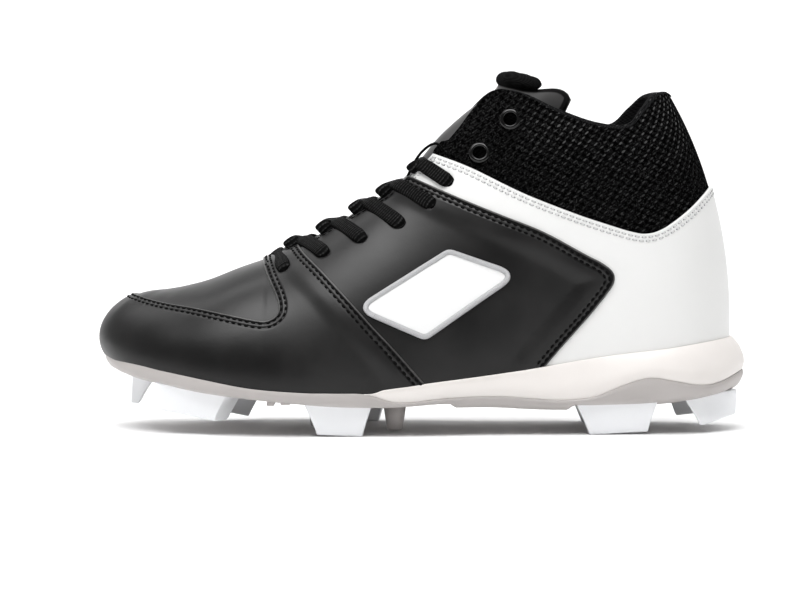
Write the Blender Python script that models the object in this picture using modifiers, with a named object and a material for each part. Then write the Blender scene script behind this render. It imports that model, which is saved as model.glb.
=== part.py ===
"""Mid-cut moulded softball cleat for the left foot, as an assembly of separate solids.

The toe points along -X, the lateral (outer) side faces -Y and +Z is up. The studs stand on z = 0.
Tables and sizes are in millimetres, and MM turns them into Blender's metres.

The upper's outer surface is a family of ribs. Each rib is a cubic Bezier curve in space that rises from
the foot line, where the upper meets the sole, to the top line: the closed vamp ridge, the throat edge,
and then the collar. SECTIONS holds one rib pair, lateral and medial, on each row.
"""

import math
from collections import namedtuple

import bmesh
import bpy
import numpy as np

MM = 0.001

# Driving sizes
MIDDLE_X = -0.117
MIDDLE_Y = -1.637
GAP = 0.3
WALL = 2.0
COLLAR_WALL = 4.5
COLLAR_PAD_FROM = 100.0
COLLAR_PAD_FULL = 126.0
COLLAR_PAD_BEHIND = 30.0
OVERLAY_THICK = 1.0
OVERLAY_SPACING = 0.4
OVERLAY_START = 0.025
INSOLE_THICK = 4.5
INSOLE_RAMP = 24.0
INSOLE_CLEAR = 1.4
INSOLE_CLEAR_REAR = 0.6
FOOTBED_DEPTH = 6.0
FOOTBED_RAMP = 50.0
FOOTBED_LEAST = 0.4
LACE_RADIUS = 1.8
LACE_LIFT = 4.0
LACE_OVER_TONGUE = 0.8
LACE_BAR_RISE = 0.6
EYELET_RADIUS = 2.7
EYELET_RING_RADIUS = 4.4
EYELET_RING_HEIGHT = 1.1
EYELET_SEAT = 0.5

# How finely the upper and the soles are cut
SIDE_STATIONS = 33
RIB_POINTS = 9
SOLE_STATIONS = 34
FINE_STATIONS = 120
FINE_RIB_POINTS = 60
TONGUE_STATIONS = 15

# Rib controls: how far up the first handle stands, how far out the second one reaches
FOOT_RISE = 0.42
HEEL_RISE = 0.355
COLLAR_DROP = 0.29
COLLAR_BULGE = 0.3

Section = namedtuple("Section", "foot_x lateral medial foot_z bulge top_x skew mid_y gap top_z roof reach")

# One row a section, from the toe tip round to the back of the heel.
# lateral and medial are the y of the foot line, bulge how far the wall swells outwards above it,
# skew how far the medial top line lies ahead of the lateral one, gap the half width between them,
# roof 1 where the ribs arch over and 0 where they stand up, reach how far a rib's top handle leans out.
SECTIONS = [
    Section(-135.4, 6.0, 6.0, 32.3, 5.0, -114.0, 0.0, 5.5, 0.0, 58.5, 1.00, 0.66),
    Section(-133.2, -5.0, 16.5, 31.8, 5.0, -112.0, 0.0, 5.4, 0.0, 58.7, 1.00, 0.66),
    Section(-127.5, -15.5, 25.0, 30.1, 4.6, -107.5, 0.0, 5.2, 0.0, 59.2, 1.00, 0.65),
    Section(-117.5, -25.5, 31.5, 27.6, 4.0, -100.5, 0.0, 5.0, 0.0, 60.5, 1.00, 0.63),
    Section(-103.5, -34.0, 36.8, 25.0, 3.6, -90.5, 0.0, 4.6, 0.0, 63.2, 1.00, 0.62),
    Section(-85.5, -40.8, 40.6, 22.2, 3.2, -77.5, 0.0, 4.2, 0.0, 68.3, 1.00, 0.62),
    Section(-66.0, -44.6, 42.4, 19.6, 3.0, -65.0, 0.0, 3.8, 0.0, 73.0, 0.98, 0.62),
    Section(-45.5, -45.8, 42.0, 18.5, 2.8, -49.5, 0.0, 3.2, 9.8, 78.8, 0.84, 0.60),
    Section(-24.0, -44.6, 39.6, 18.3, 2.6, -27.5, 0.0, 2.4, 12.0, 91.2, 0.70, 0.58),
    Section(3.0, -40.6, 35.8, 21.7, 2.6, -6.0, 0.0, 1.5, 13.5, 105.5, 0.58, 0.55),
    Section(24.0, -37.0, 33.4, 24.2, 2.8, 9.5, 0.0, 0.8, 16.0, 121.5, 0.46, 0.50),
    Section(40.0, -35.2, 32.3, 26.4, 3.2, 28.0, 0.0, 0.4, 20.5, 141.8, 0.34, 0.48),
    Section(53.0, -34.3, 31.8, 28.5, 3.4, 40.0, 0.0, 0.2, 26.5, 143.4, 0.24, 0.50),
    Section(67.0, -33.6, 31.6, 30.9, 3.6, 56.0, 0.0, 0.1, 31.0, 136.4, 0.14, 0.55),
    Section(81.0, -33.2, 31.5, 33.0, 3.8, 72.0, 1.5, 0.0, 32.6, 130.8, 0.06, 0.60),
    Section(95.0, -32.4, 30.9, 34.6, 4.0, 85.4, 3.4, 0.0, 32.0, 129.8, 0.0, 0.70),
    Section(107.5, -29.6, 28.4, 36.0, 3.7, 92.3, 3.6, 0.0, 29.0, 136.6, 0.0, 0.74),
    Section(118.0, -23.6, 22.8, 37.1, 2.4, 97.9, 3.0, 0.0, 23.0, 142.6, 0.0, 0.72),
    Section(126.0, -13.6, 13.2, 37.8, 1.6, 102.6, 1.4, 0.0, 13.0, 143.6, 0.0, 0.71),
    Section(130.4, 0.0, 0.0, 38.1, 1.3, 105.3, 0.0, 0.0, 0.0, 142.4, 0.0, 0.71),
]
THROAT_ROW = 6

SoleRow = namedtuple("SoleRow", "x bottom wall_top flare bevel")

# Side profile of the sole: its underside, the top of the grey side wall, how far the wall
# stands out past the foot line, and how far the underside's edge is drawn in from the wall.
SOLE_ROWS = [
    SoleRow(-135.4, 24.2, 32.0, 0.2, 7.0),
    SoleRow(-123.0, 22.6, 28.5, 0.7, 5.0),
    SoleRow(-110.0, 20.6, 25.7, 1.0, 4.0),
    SoleRow(-92.0, 17.8, 22.9, 1.2, 3.4),
    SoleRow(-72.0, 15.6, 19.9, 1.5, 3.0),
    SoleRow(-51.0, 13.7, 18.3, 1.5, 3.0),
    SoleRow(-36.0, 12.6, 18.0, 1.5, 3.0),
    SoleRow(-24.0, 12.2, 17.6, 1.5, 3.0),
    SoleRow(-10.0, 12.2, 14.4, 1.6, 3.0),
    SoleRow(10.0, 13.4, 16.0, 2.0, 3.0),
    SoleRow(32.0, 12.5, 16.5, 2.6, 3.0),
    SoleRow(48.0, 12.3, 15.4, 3.2, 3.4),
    SoleRow(58.0, 12.2, 14.9, 3.8, 4.0),
    SoleRow(72.0, 12.2, 16.4, 4.6, 5.0),
    SoleRow(84.0, 12.2, 21.2, 5.2, 5.5),
    SoleRow(94.0, 12.4, 24.1, 5.7, 5.9),
    SoleRow(103.0, 13.0, 22.9, 6.0, 6.3),
    SoleRow(112.5, 14.0, 20.9, 6.3, 6.8),
    SoleRow(120.0, 15.1, 21.4, 6.4, 7.4),
    SoleRow(130.4, 17.2, 25.4, 6.7, 8.8),
]

# The thicker plate under the waist of the outsole
SHANK_FROM = 14.4
SHANK_TO = 60.5
SHANK_RAMP = 3.0
SHANK_STEP = 1.7

# The midsole starts as a wedge under the ball and swells round the heel
MIDSOLE_FROM = -20.0
MIDSOLE_RIM_OUT = 1.8
MIDSOLE_RIM_IN = 4.6
MIDSOLE_BULGE = 0.5
MIDSOLE_ROUND_HEIGHT = 12.0
MIDSOLE_DRAW_IN = 0.4
MIDSOLE_LEAST = 0.6

Cleat = namedtuple(
    "Cleat", "name base_front base_rear tip_front tip_rear y_front y_rear base_w tip_w z_front z_rear"
)

# White studs: where each one starts and ends along x at its base and its tip, the y of its middle line
# at both ends, how wide it is, and the height of its tip at both ends.
CLEATS = [
    Cleat("cleat_toe_lateral", -111.0, -80.0, -109.6, -86.0, -26.0, -34.0, 9.0, 6.0, 10.0, 6.0),
    Cleat("cleat_toe_medial", -97.5, -66.5, -95.5, -72.5, 31.5, 35.5, 9.0, 6.0, 6.0, 1.8),
    Cleat("cleat_ball_lateral", -50.0, -21.0, -44.0, -25.0, -39.5, -38.5, 9.0, 6.0, 0.0, 0.0),
    Cleat("cleat_ball_medial", -44.0, -14.0, -38.0, -18.5, 35.0, 32.0, 9.0, 6.0, 0.0, 0.0),
    Cleat("cleat_heel_lateral", 64.0, 98.5, 70.0, 94.5, -30.0, -29.0, 9.0, 6.0, 0.0, 0.0),
    Cleat("cleat_heel_medial", 64.0, 98.5, 70.0, 94.5, 28.0, 27.0, 9.0, 6.0, 0.0, 0.0),
    Cleat("cleat_rear_lateral", 110.5, 131.0, 117.0, 130.0, -24.5, -9.0, 9.0, 6.0, 3.2, 6.8),
    Cleat("cleat_rear_medial", 110.5, 131.0, 117.0, 130.0, 24.0, 9.0, 9.0, 6.0, 3.2, 6.8),
]
TOE_BAR = Cleat("cleat_toe_bar", -123.5, -113.5, -124.5, -121.0, 6.0, 6.0, 22.0, 17.0, 10.8, 10.4)
CLEAT_ROUND = 1.1

Stud = namedtuple("Stud", "x y base_r tip_r")

# Small grey studs moulded with the outsole, on the middle of the forefoot
STUDS = [Stud(-11.5, -24.0, 5.2, 3.2), Stud(-44.0, -8.0, 5.2, 3.2)]
STUD_SINK = 2.0
STUD_TIP_LIFT = 1.2

Rib = namedtuple("Rib", "x length depth")

# Cross ribs on the forefoot's underside, which show as small teeth along its edge
TREAD_RIBS = [Rib(-64.0, 2.4, 1.3), Rib(-57.0, 3.0, 1.1)]
TREAD_RIB_INSET = 4.0

# Overlay edges in the side view, as x and z
VAMP_WINDOW = [
    (-129.0, 58.2), (-115.0, 54.9), (-106.0, 53.5), (-94.0, 52.1), (-81.0, 50.0), (-72.5, 48.5),
    (-65.9, 47.7), (-61.6, 49.2), (-59.9, 52.3), (-61.2, 57.7), (-64.7, 64.5), (-68.3, 73.0),
]
BALL_SEAM = [
    (-53.6, 79.5), (-49.0, 74.3), (-40.8, 66.9), (-30.1, 55.8), (-21.3, 46.2), (-12.2, 36.7), (1.8, 21.0),
]
QUARTER_EDGE = [
    (-6.5, 108.2), (14.2, 99.5), (33.4, 91.9), (50.4, 85.2), (68.3, 75.6), (74.6, 72.4), (79.0, 69.0),
    (80.2, 65.6), (78.6, 61.4), (71.9, 52.6), (64.9, 44.5), (58.0, 36.8), (48.0, 25.0),
]
HEEL_EDGE = [
    (4.5, 117.6), (20.7, 111.5), (41.8, 101.3), (63.1, 92.9), (75.8, 88.6), (86.9, 85.2), (93.7, 84.3),
    (100.6, 86.4), (110.7, 93.4), (120.7, 102.1), (140.0, 118.0),
]
SIDE_REACH = 80.0
BELOW = 5.0
ABOVE = 160.0
AHEAD = -150.0
BEHIND = 150.0

Eyelet = namedtuple("Eyelet", "x z")

# Lace holes down the lateral eyestay, and the two ringed eyelets on the collar
LACE_HOLES = [
    Eyelet(-57.6, 68.2), Eyelet(-40.9, 74.9), Eyelet(-25.4, 81.2), Eyelet(-9.6, 87.5),
    Eyelet(4.3, 95.9), Eyelet(11.3, 105.4),
]
RING_HOLES = [Eyelet(24.4, 118.0), Eyelet(36.8, 131.8)]
HOLE_SIDES = 12
HOLE_CUT_DEPTH = 9.0

TongueRow = namedtuple("TongueRow", "x z half_width back drop thick")

# The tongue's middle line from under the vamp to its top, and how its wings turn back and down
TONGUE_ROWS = [
    TongueRow(-84.0, 60.5, 15.0, 1.5, 5.0, 3.0),
    TongueRow(-66.0, 68.0, 18.0, 3.0, 8.5, 3.2),
    TongueRow(-46.0, 78.4, 21.0, 5.0, 14.0, 3.4),
    TongueRow(-24.5, 92.0, 21.5, 9.0, 19.5, 3.6),
    TongueRow(-6.5, 106.0, 20.5, 14.5, 20.5, 3.8),
    TongueRow(5.5, 121.0, 21.0, 23.0, 20.0, 4.2),
    TongueRow(17.0, 133.6, 22.2, 30.5, 15.5, 5.0),
    TongueRow(27.0, 143.6, 23.6, 35.0, 11.0, 5.4),
    TongueRow(30.5, 147.6, 23.0, 36.5, 10.0, 4.2),
]
TONGUE_TURN = 80.0
TONGUE_ACROSS = 11
TAB_RADIUS = 3.6
TAB_TURN = 52.0
TAB_POINTS = 9
TAB_RISE = 2.4
TAB_BACK = 3.6
TAB_DROP = 0.4

Finish = namedtuple("Finish", "colour roughness")
BLACK_LEATHER = Finish((0.018, 0.017, 0.018), 0.45)
WHITE_LEATHER = Finish((0.86, 0.86, 0.85), 0.45)
BLACK_MESH = Finish((0.010, 0.010, 0.011), 0.85)
BLACK_LACE = Finish((0.012, 0.012, 0.012), 0.80)
BLACK_METAL = Finish((0.015, 0.015, 0.016), 0.30)
CREAM_FOAM = Finish((0.90, 0.87, 0.83), 0.55)
GREY_RUBBER = Finish((0.50, 0.47, 0.45), 0.50)
WHITE_STUD = Finish((0.93, 0.94, 0.96), 0.40)
GREY_INSOLE = Finish((0.05, 0.05, 0.055), 0.90)


def clear_scene():
    """Removes whatever the file opened with."""
    for obj in list(bpy.data.objects):
        bpy.data.objects.remove(obj)


def collection_named(name):
    """A new collection in the scene."""
    made = bpy.data.collections.new(name)
    bpy.context.scene.collection.children.link(made)
    return made


def material_named(name, finish):
    """A Principled material with one colour and roughness."""
    made = bpy.data.materials.get(name)
    if made is None:
        made = bpy.data.materials.new(name)
        made.use_nodes = True
        shader = made.node_tree.nodes["Principled BSDF"]
        shader.inputs["Base Color"].default_value = (*finish.colour, 1.0)
        shader.inputs["Roughness"].default_value = finish.roughness
        shader.inputs["Metallic"].default_value = 0.0
    return made


def object_from(bm, name, home, finish_name, finish):
    """Turns a bmesh in millimetres into an object in metres, with the middle of the shoe over the origin."""
    bmesh.ops.translate(bm, verts=bm.verts, vec=(-MIDDLE_X, -MIDDLE_Y, 0))
    bmesh.ops.scale(bm, vec=(MM, MM, MM), verts=bm.verts)
    mesh = bpy.data.meshes.new(name)
    bm.to_mesh(mesh)
    bm.free()
    mesh.shade_smooth()
    obj = bpy.data.objects.new(name, mesh)
    home.objects.link(obj)
    mesh.materials.append(material_named(finish_name, finish))
    return obj


def as_helper(obj):
    """Marks an object as a cutter, which is no part of the shoe."""
    obj.hide_render = True
    obj.display_type = "WIRE"
    return obj


def smooth_columns(rows, at):
    """Catmull-Rom values of a table at fractional row numbers, one column for each field."""
    table = np.array(rows, float)
    at = np.clip(np.asarray(at, float), 0, len(table) - 1)
    low = np.minimum(at.astype(int), len(table) - 2)
    f = (at - low)[:, None]
    last = len(table) - 1
    p0, p1 = table[np.maximum(low - 1, 0)], table[low]
    p2, p3 = table[low + 1], table[np.minimum(low + 2, last)]
    square = (2 * p0 - 5 * p1 + 4 * p2 - p3) * f**2
    cube = (3 * (p1 - p2) + p3 - p0) * f**3
    return 0.5 * (2 * p1 + (p2 - p0) * f + square + cube)


def smooth_at(rows, x):
    """Values of a table whose first column is x, smooth between its rows."""
    xs = np.array([row[0] for row in rows])
    return smooth_columns(rows, np.interp(x, xs, np.arange(len(xs))))


def station_rows(count):
    """Fractional row numbers of one side's stations, toe tip to heel, the throat's row among them."""
    rows = np.linspace(0, len(SECTIONS) - 1, count)
    rows[np.argmin(abs(rows - THROAT_ROW))] = THROAT_ROW
    return rows


def around(values):
    """Row numbers once round the shoe: toe, lateral side, heel, medial side."""
    return np.concatenate([values, values[-2:0:-1]])


def is_medial(count):
    """True for the columns of a full loop that lie on the medial side."""
    return np.arange(2 * count - 2) >= count


def foot_line(rows):
    """Points of the foot line once round the shoe, and the outward normals of its outline."""
    loop = around(rows)
    c = smooth_columns(SECTIONS, loop)
    side = is_medial(len(rows))
    y = np.where(side, c[:, 2], c[:, 1])
    points = np.stack([c[:, 0], y, c[:, 3]], axis=1)
    along = np.roll(points, -1, axis=0) - np.roll(points, 1, axis=0)
    normal = np.stack([along[:, 1], -along[:, 0], np.zeros(len(loop))], axis=1)
    return points, normal / np.linalg.norm(normal, axis=1)[:, None], c


def upper_surface(rows, rise):
    """The upper's outer surface: points and normals, a column a station and a row up each rib."""
    foot, out, c = foot_line(rows)
    loop = around(rows)
    side = np.where(is_medial(len(rows)), 1.0, -1.0)
    closed = loop <= THROAT_ROW
    gap = np.where(closed, 0.0, np.maximum(c[:, 8], 0.0))
    top_x = c[:, 5] - np.where(side > 0, c[:, 6], 0.0)
    top = np.stack([top_x, c[:, 7] + side * gap, c[:, 9]], axis=1)
    roof, reach = c[:, 10:11], c[:, 11:12]
    up = np.array([0.0, 0.0, 1.0])
    height = (top[:, 2] - foot[:, 2])[:, None]
    rise_share = HEEL_RISE + (FOOT_RISE - HEEL_RISE) * np.clip(2 * roof, 0, 1)
    first = foot + out * c[:, 4:5] + up * rise_share * height
    outward = (foot - top) * np.array([1.0, 1.0, 0.0]) * reach
    ridge_slope = np.where(closed, np.clip(np.gradient(c[:, 9]) / ridge_step(c[:, 5]), 0.0, 0.6), 0.0)
    arched = top + outward
    arched[:, 2] += ridge_slope * outward[:, 0]
    stood = top + outward + out * (COLLAR_BULGE * c[:, 4:5]) - up * COLLAR_DROP * height
    second = roof * arched + (1 - roof) * stood
    t = rise[None, :, None]
    points = (
        (1 - t) ** 3 * foot[:, None]
        + 3 * (1 - t) ** 2 * t * first[:, None]
        + 3 * (1 - t) * t**2 * second[:, None]
        + t**3 * top[:, None]
    )
    along = np.roll(points, -1, axis=0) - np.roll(points, 1, axis=0)
    along[0, -1] = np.array([0.0, -1.0, 0.0])
    normal = np.cross(along, np.gradient(points, axis=1))
    normal /= np.linalg.norm(normal, axis=2)[:, :, None]
    join_ridge_normals(normal, rows)
    return points, normal


def ridge_step(x):
    """Steps of the top line along x, kept away from zero."""
    step = np.gradient(x)
    return np.where(abs(step) < 1e-6, 1e-6, step)


def join_ridge_normals(normal, rows):
    """Gives the lateral and medial ends of each closed rib one shared normal."""
    count, columns = len(rows), 2 * len(rows) - 2
    for j in range(1, count - 1):
        if rows[j] <= THROAT_ROW:
            both = normal[j, -1] + normal[columns - j, -1]
            normal[j, -1] = normal[columns - j, -1] = both / np.linalg.norm(both)


def sheet_mesh(points):
    """An open sheet whose columns close round the shoe, with the closed vamp zipped along its ridge."""
    bm = bmesh.new()
    columns, rise = points.shape[:2]
    grid = [[bm.verts.new(points[j, i]) for i in range(rise)] for j in range(columns)]
    for j in range(columns):
        k = (j + 1) % columns
        for i in range(rise - 1):
            bm.faces.new((grid[j][i], grid[k][i], grid[k][i + 1], grid[j][i + 1]))
    bmesh.ops.remove_doubles(bm, verts=bm.verts, dist=1e-3)
    bmesh.ops.triangulate(bm, faces=bm.faces, quad_method="FIXED", ngon_method="BEAUTY")
    return bm


def loft(sections):
    """A closed skin through closed loops of the same number of points. Points that meet are merged."""
    bm = bmesh.new()
    rings = [[bm.verts.new(p) for p in section] for section in sections]
    count = len(rings[0])
    for a, b in zip(rings, rings[1:]):
        for i in range(count):
            j = (i + 1) % count
            bm.faces.new((a[i], a[j], b[j], b[i]))
    for ring in (rings[0], rings[-1]):
        bm.faces.new(ring)
    bmesh.ops.remove_doubles(bm, verts=bm.verts, dist=1e-3)
    bmesh.ops.dissolve_degenerate(bm, edges=bm.edges, dist=1e-4)
    bmesh.ops.recalc_face_normals(bm, faces=bm.faces)
    return bm


def add_boolean(obj, other, operation):
    """Joins another solid to an object or cuts it out."""
    modifier = obj.modifiers.new(other.name, "BOOLEAN")
    modifier.operation = operation
    modifier.object = other


def build_upper(home, cutters):
    """The hollow upper: one wall from the sole to the collar, thicker where the collar is padded."""
    rise = np.concatenate([[0.0], np.linspace(OVERLAY_START, 1, RIB_POINTS)])
    points, _ = upper_surface(station_rows(SIDE_STATIONS), rise)
    upper = object_from(sheet_mesh(points), "upper", home, "black_mesh", BLACK_MESH)
    pad = upper.vertex_groups.new(name="wall")
    for v in upper.data.vertices:
        padded = np.clip((v.co.z / MM - COLLAR_PAD_FROM) / (COLLAR_PAD_FULL - COLLAR_PAD_FROM), 0, 1)
        behind = np.clip(v.co.x / MM / COLLAR_PAD_BEHIND, 0, 1)
        wall = WALL + (COLLAR_WALL - WALL) * padded * behind
        pad.add([v.index], wall / COLLAR_WALL, "REPLACE")
    shell = upper.modifiers.new("wall", "SOLIDIFY")
    shell.thickness = COLLAR_WALL * MM
    shell.offset = -1.0
    shell.vertex_group = pad.name
    shell.use_even_offset = True
    shell.use_quality_normals = True
    for cutter in cutters:
        add_boolean(upper, cutter, "DIFFERENCE")
    return upper


def prism(name, outline, y_from, y_to, home):
    """A cutter: a side-view outline drawn out along y."""
    bm = bmesh.new()
    face = bm.faces.new([bm.verts.new((x, y_from, z)) for x, z in outline])
    pulled = bmesh.ops.extrude_face_region(bm, geom=[face])
    moved = [v for v in pulled["geom"] if isinstance(v, bmesh.types.BMVert)]
    bmesh.ops.translate(bm, verts=moved, vec=(0, y_to - y_from, 0))
    bmesh.ops.recalc_face_normals(bm, faces=bm.faces)
    return as_helper(object_from(bm, name, home, "cutter", BLACK_MESH))


def shifted(line, dx):
    """A side-view line moved along x."""
    return [(x + dx, z) for x, z in line]


def overlay(name, home, helpers, outline, y_range, finish_name, finish):
    """A leather panel: a thin shell off the upper's own surface, cut to its outline in the side view."""
    rise = np.linspace(OVERLAY_START, 1, RIB_POINTS)
    points, normals = upper_surface(station_rows(SIDE_STATIONS), rise)
    panel = object_from(sheet_mesh(points + normals * GAP), name, home, finish_name, finish)
    shell = panel.modifiers.new("thickness", "SOLIDIFY")
    shell.thickness = OVERLAY_THICK * MM
    shell.offset = 1.0
    add_boolean(panel, prism("cut_" + name, outline, *y_range, helpers), "INTERSECT")
    return panel


def build_overlays(home, helpers):
    """Toe guard round the front, a quarter on each side, and the white panel round the heel."""
    both = (-SIDE_REACH, SIDE_REACH)
    seam_gap = OVERLAY_SPACING / 2
    toe_outline = [(AHEAD, BELOW), (AHEAD, VAMP_WINDOW[0][1]), *VAMP_WINDOW, (VAMP_WINDOW[-1][0], ABOVE)]
    seam_front = shifted(BALL_SEAM, -seam_gap)
    toe_outline += [(BALL_SEAM[0][0] - seam_gap, ABOVE), *seam_front, (BALL_SEAM[-1][0], BELOW)]
    overlay("toe_guard", home, helpers, toe_outline, both, "black_leather", BLACK_LEATHER)
    seam_back = shifted(BALL_SEAM[::-1], seam_gap)
    quarter_outline = [(BALL_SEAM[-1][0] + seam_gap, BELOW), *seam_back, (BALL_SEAM[0][0] + seam_gap, ABOVE)]
    quarter_outline += [(QUARTER_EDGE[0][0], ABOVE), *QUARTER_EDGE, (QUARTER_EDGE[-1][0], BELOW)]
    for name, y_range in (("quarter_lateral", (-SIDE_REACH, 0.0)), ("quarter_medial", (0.0, SIDE_REACH))):
        overlay(name, home, helpers, quarter_outline, y_range, "black_leather", BLACK_LEATHER)
    inner = shifted(QUARTER_EDGE[::-1], OVERLAY_SPACING)
    heel_outline = [(QUARTER_EDGE[-1][0] + OVERLAY_SPACING, BELOW), *inner]
    heel_outline += [*HEEL_EDGE, (BEHIND, HEEL_EDGE[-1][1]), (BEHIND, BELOW)]
    overlay("heel_panel", home, helpers, heel_outline, both, "white_leather", WHITE_LEATHER)


def outline_at(foot, out, offset, z):
    """The foot line moved out by an offset, at the given heights."""
    moved = foot + out * np.broadcast_to(offset, len(foot))[:, None]
    moved[:, 2] = z
    return moved


def middle_of(loop, count):
    """Points midway between the lateral and medial points of each station."""
    columns = len(loop)
    return np.array([(loop[j] + loop[(columns - j) % columns]) / 2 for j in range(count)])


def cross_sections(lateral_up, middle_top, middle_bottom, count):
    """One closed loop a station: up the lateral side, over the middle, down the medial side and under."""
    columns = 2 * count - 2
    sections = []
    for j in range(count):
        k = (columns - j) % columns
        lateral = [loop[j] for loop in lateral_up]
        medial = [loop[k] for loop in lateral_up[::-1]]
        sections.append([*lateral, middle_top[j], *medial, middle_bottom[j]])
    return sections


def sole_profile(foot):
    """Columns of SOLE_ROWS at each point of the foot line, with the shank's step added to the underside."""
    p = smooth_at(SOLE_ROWS, foot[:, 0])
    ramp_in = np.clip((foot[:, 0] - SHANK_FROM) / SHANK_RAMP + 1, 0, 1)
    ramp_out = np.clip((SHANK_TO - foot[:, 0]) / SHANK_RAMP + 1, 0, 1)
    p[:, 1] -= SHANK_STEP * np.minimum(ramp_in, ramp_out)
    return p


def sole_stations():
    """Stations of the soles, with one on each side of the shank's two steps."""
    rows = station_rows(SOLE_STATIONS)
    fine = np.linspace(0, len(SECTIONS) - 1, 2000)
    foot_x = smooth_columns(SECTIONS, fine)[:, 0]
    steps = [SHANK_FROM - SHANK_RAMP, SHANK_FROM, SHANK_TO, SHANK_TO + SHANK_RAMP, MIDSOLE_FROM]
    return np.unique(np.concatenate([rows, np.interp(steps, foot_x, fine)]))


def build_outsole(home, helpers):
    """The grey outsole: an underside with toe spring and shank, and a side wall that waves at the heel."""
    rows = sole_stations()
    foot, out, _ = foot_line(rows)
    p = sole_profile(foot)
    bottom, wall_top, flare, bevel = p[:, 1], p[:, 2], p[:, 3], p[:, 4]
    loops = [
        outline_at(foot, out, flare - bevel, bottom),
        outline_at(foot, out, flare - 0.35 * bevel, bottom + 0.28 * (wall_top - bottom)),
        outline_at(foot, out, flare, bottom + 0.72 * (wall_top - bottom)),
        outline_at(foot, out, flare - 0.2, wall_top),
    ]
    count = len(rows)
    sections = cross_sections(loops, middle_of(loops[-1], count), middle_of(loops[0], count), count)
    outsole = object_from(loft(sections), "outsole", home, "grey_rubber", GREY_RUBBER)
    for i, stud in enumerate(STUDS):
        add_boolean(outsole, stud_helper(f"stud_{i}", stud, helpers), "UNION")
    for i, rib in enumerate(TREAD_RIBS):
        add_boolean(outsole, rib_helper(f"tread_rib_{i}", rib, helpers), "UNION")
    return outsole


def sole_bottom(x):
    """Height of the outsole's underside."""
    return float(sole_profile(np.array([[x, 0.0, 0.0]]))[0, 1])


def stud_helper(name, stud, helpers):
    """A small round stud that sinks into the outsole it is moulded with."""
    top = sole_bottom(stud.x) + STUD_SINK
    bm = bmesh.new()
    bmesh.ops.create_cone(
        bm, cap_ends=True, segments=12, radius1=stud.tip_r, radius2=stud.base_r, depth=top - STUD_TIP_LIFT
    )
    bmesh.ops.translate(bm, verts=bm.verts, vec=(stud.x, stud.y, (top + STUD_TIP_LIFT) / 2))
    return as_helper(object_from(bm, name, helpers, "grey_rubber", GREY_RUBBER))


def rib_helper(name, rib, helpers):
    """A cross rib that reaches nearly from edge to edge of the forefoot."""
    foot, _, _ = foot_line(station_rows(SIDE_STATIONS))
    lateral = foot[: SIDE_STATIONS]
    medial = np.vstack([foot[:1], foot[: SIDE_STATIONS - 2 : -1]])
    y_low = float(np.interp(rib.x, lateral[:, 0], lateral[:, 1])) + TREAD_RIB_INSET
    y_high = float(np.interp(rib.x, medial[:, 0], medial[:, 1])) - TREAD_RIB_INSET
    top = sole_bottom(rib.x) + STUD_SINK
    depth = STUD_SINK + rib.depth
    bm = bmesh.new()
    bmesh.ops.create_cube(bm, size=1.0)
    bmesh.ops.scale(bm, vec=(rib.length, y_high - y_low, depth), verts=bm.verts)
    bmesh.ops.translate(bm, verts=bm.verts, vec=(rib.x, (y_low + y_high) / 2, top - depth / 2))
    return as_helper(object_from(bm, name, helpers, "grey_rubber", GREY_RUBBER))


def footbed_depth(x):
    """How far the midsole's footbed lies under its rim."""
    return FOOTBED_DEPTH * np.clip((x - MIDSOLE_FROM) / FOOTBED_RAMP, 0, 1)


def build_midsole(home):
    """The cream midsole: a wedge from under the ball to the heel, with a rim round the footbed."""
    rows = sole_stations()
    foot, out, _ = foot_line(rows)
    p = sole_profile(foot)
    low = np.minimum(p[:, 2] + GAP, foot[:, 2] - GAP - MIDSOLE_LEAST)
    rim = foot[:, 2] - GAP
    floor = rim - footbed_depth(foot[:, 0])
    floor = np.maximum(floor, low + FOOTBED_LEAST)
    flare = p[:, 3]
    round_share = np.clip((rim - low) / MIDSOLE_ROUND_HEIGHT, 0, 1)
    drawn_in = MIDSOLE_DRAW_IN * (flare - MIDSOLE_RIM_OUT) * round_share
    loops = [
        outline_at(foot, out, flare - 0.2, low),
        outline_at(foot, out, flare + MIDSOLE_BULGE * round_share, low + 0.35 * (rim - low)),
        outline_at(foot, out, flare - drawn_in, low + 0.75 * (rim - low)),
        outline_at(foot, out, np.minimum(MIDSOLE_RIM_OUT, flare), rim),
        outline_at(foot, out, -MIDSOLE_RIM_IN, rim),
        outline_at(foot, out, -MIDSOLE_RIM_IN - 0.8, floor),
    ]
    count = len(rows)
    sections = cross_sections(loops, middle_of(loops[-1], count), middle_of(loops[0], count), count)
    kept = [s for s, x in zip(sections, foot[:count, 0]) if x >= MIDSOLE_FROM - 0.1]
    return object_from(loft(kept), "midsole", home, "cream_foam", CREAM_FOAM)


def build_insole(home):
    """The sock liner on the sole, inside the upper."""
    rows = station_rows(SOLE_STATIONS)
    foot, out, _ = foot_line(rows)
    p = sole_profile(foot)
    behind = np.clip((foot[:, 0] - MIDSOLE_FROM) / INSOLE_RAMP + 0.5, 0, 1)
    inset = -(WALL + INSOLE_CLEAR) - behind * (MIDSOLE_RIM_IN - WALL + INSOLE_CLEAR_REAR)
    front_floor = np.maximum(p[:, 2], foot[:, 2] - GAP)
    rear_floor = foot[:, 2] - GAP - footbed_depth(foot[:, 0])
    rear_floor = np.maximum(rear_floor, p[:, 2] + GAP + FOOTBED_LEAST)
    floor = np.where(foot[:, 0] < MIDSOLE_FROM, front_floor, rear_floor) + GAP
    loops = [
        outline_at(foot, out, inset, floor),
        outline_at(foot, out, inset, floor + 0.7 * INSOLE_THICK),
        outline_at(foot, out, inset - 1.2, floor + INSOLE_THICK),
    ]
    count = len(rows)
    sections = cross_sections(loops, middle_of(loops[-1], count), middle_of(loops[0], count), count)
    return object_from(loft(sections[1:-1]), "insole", home, "grey_insole", GREY_INSOLE)


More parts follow.
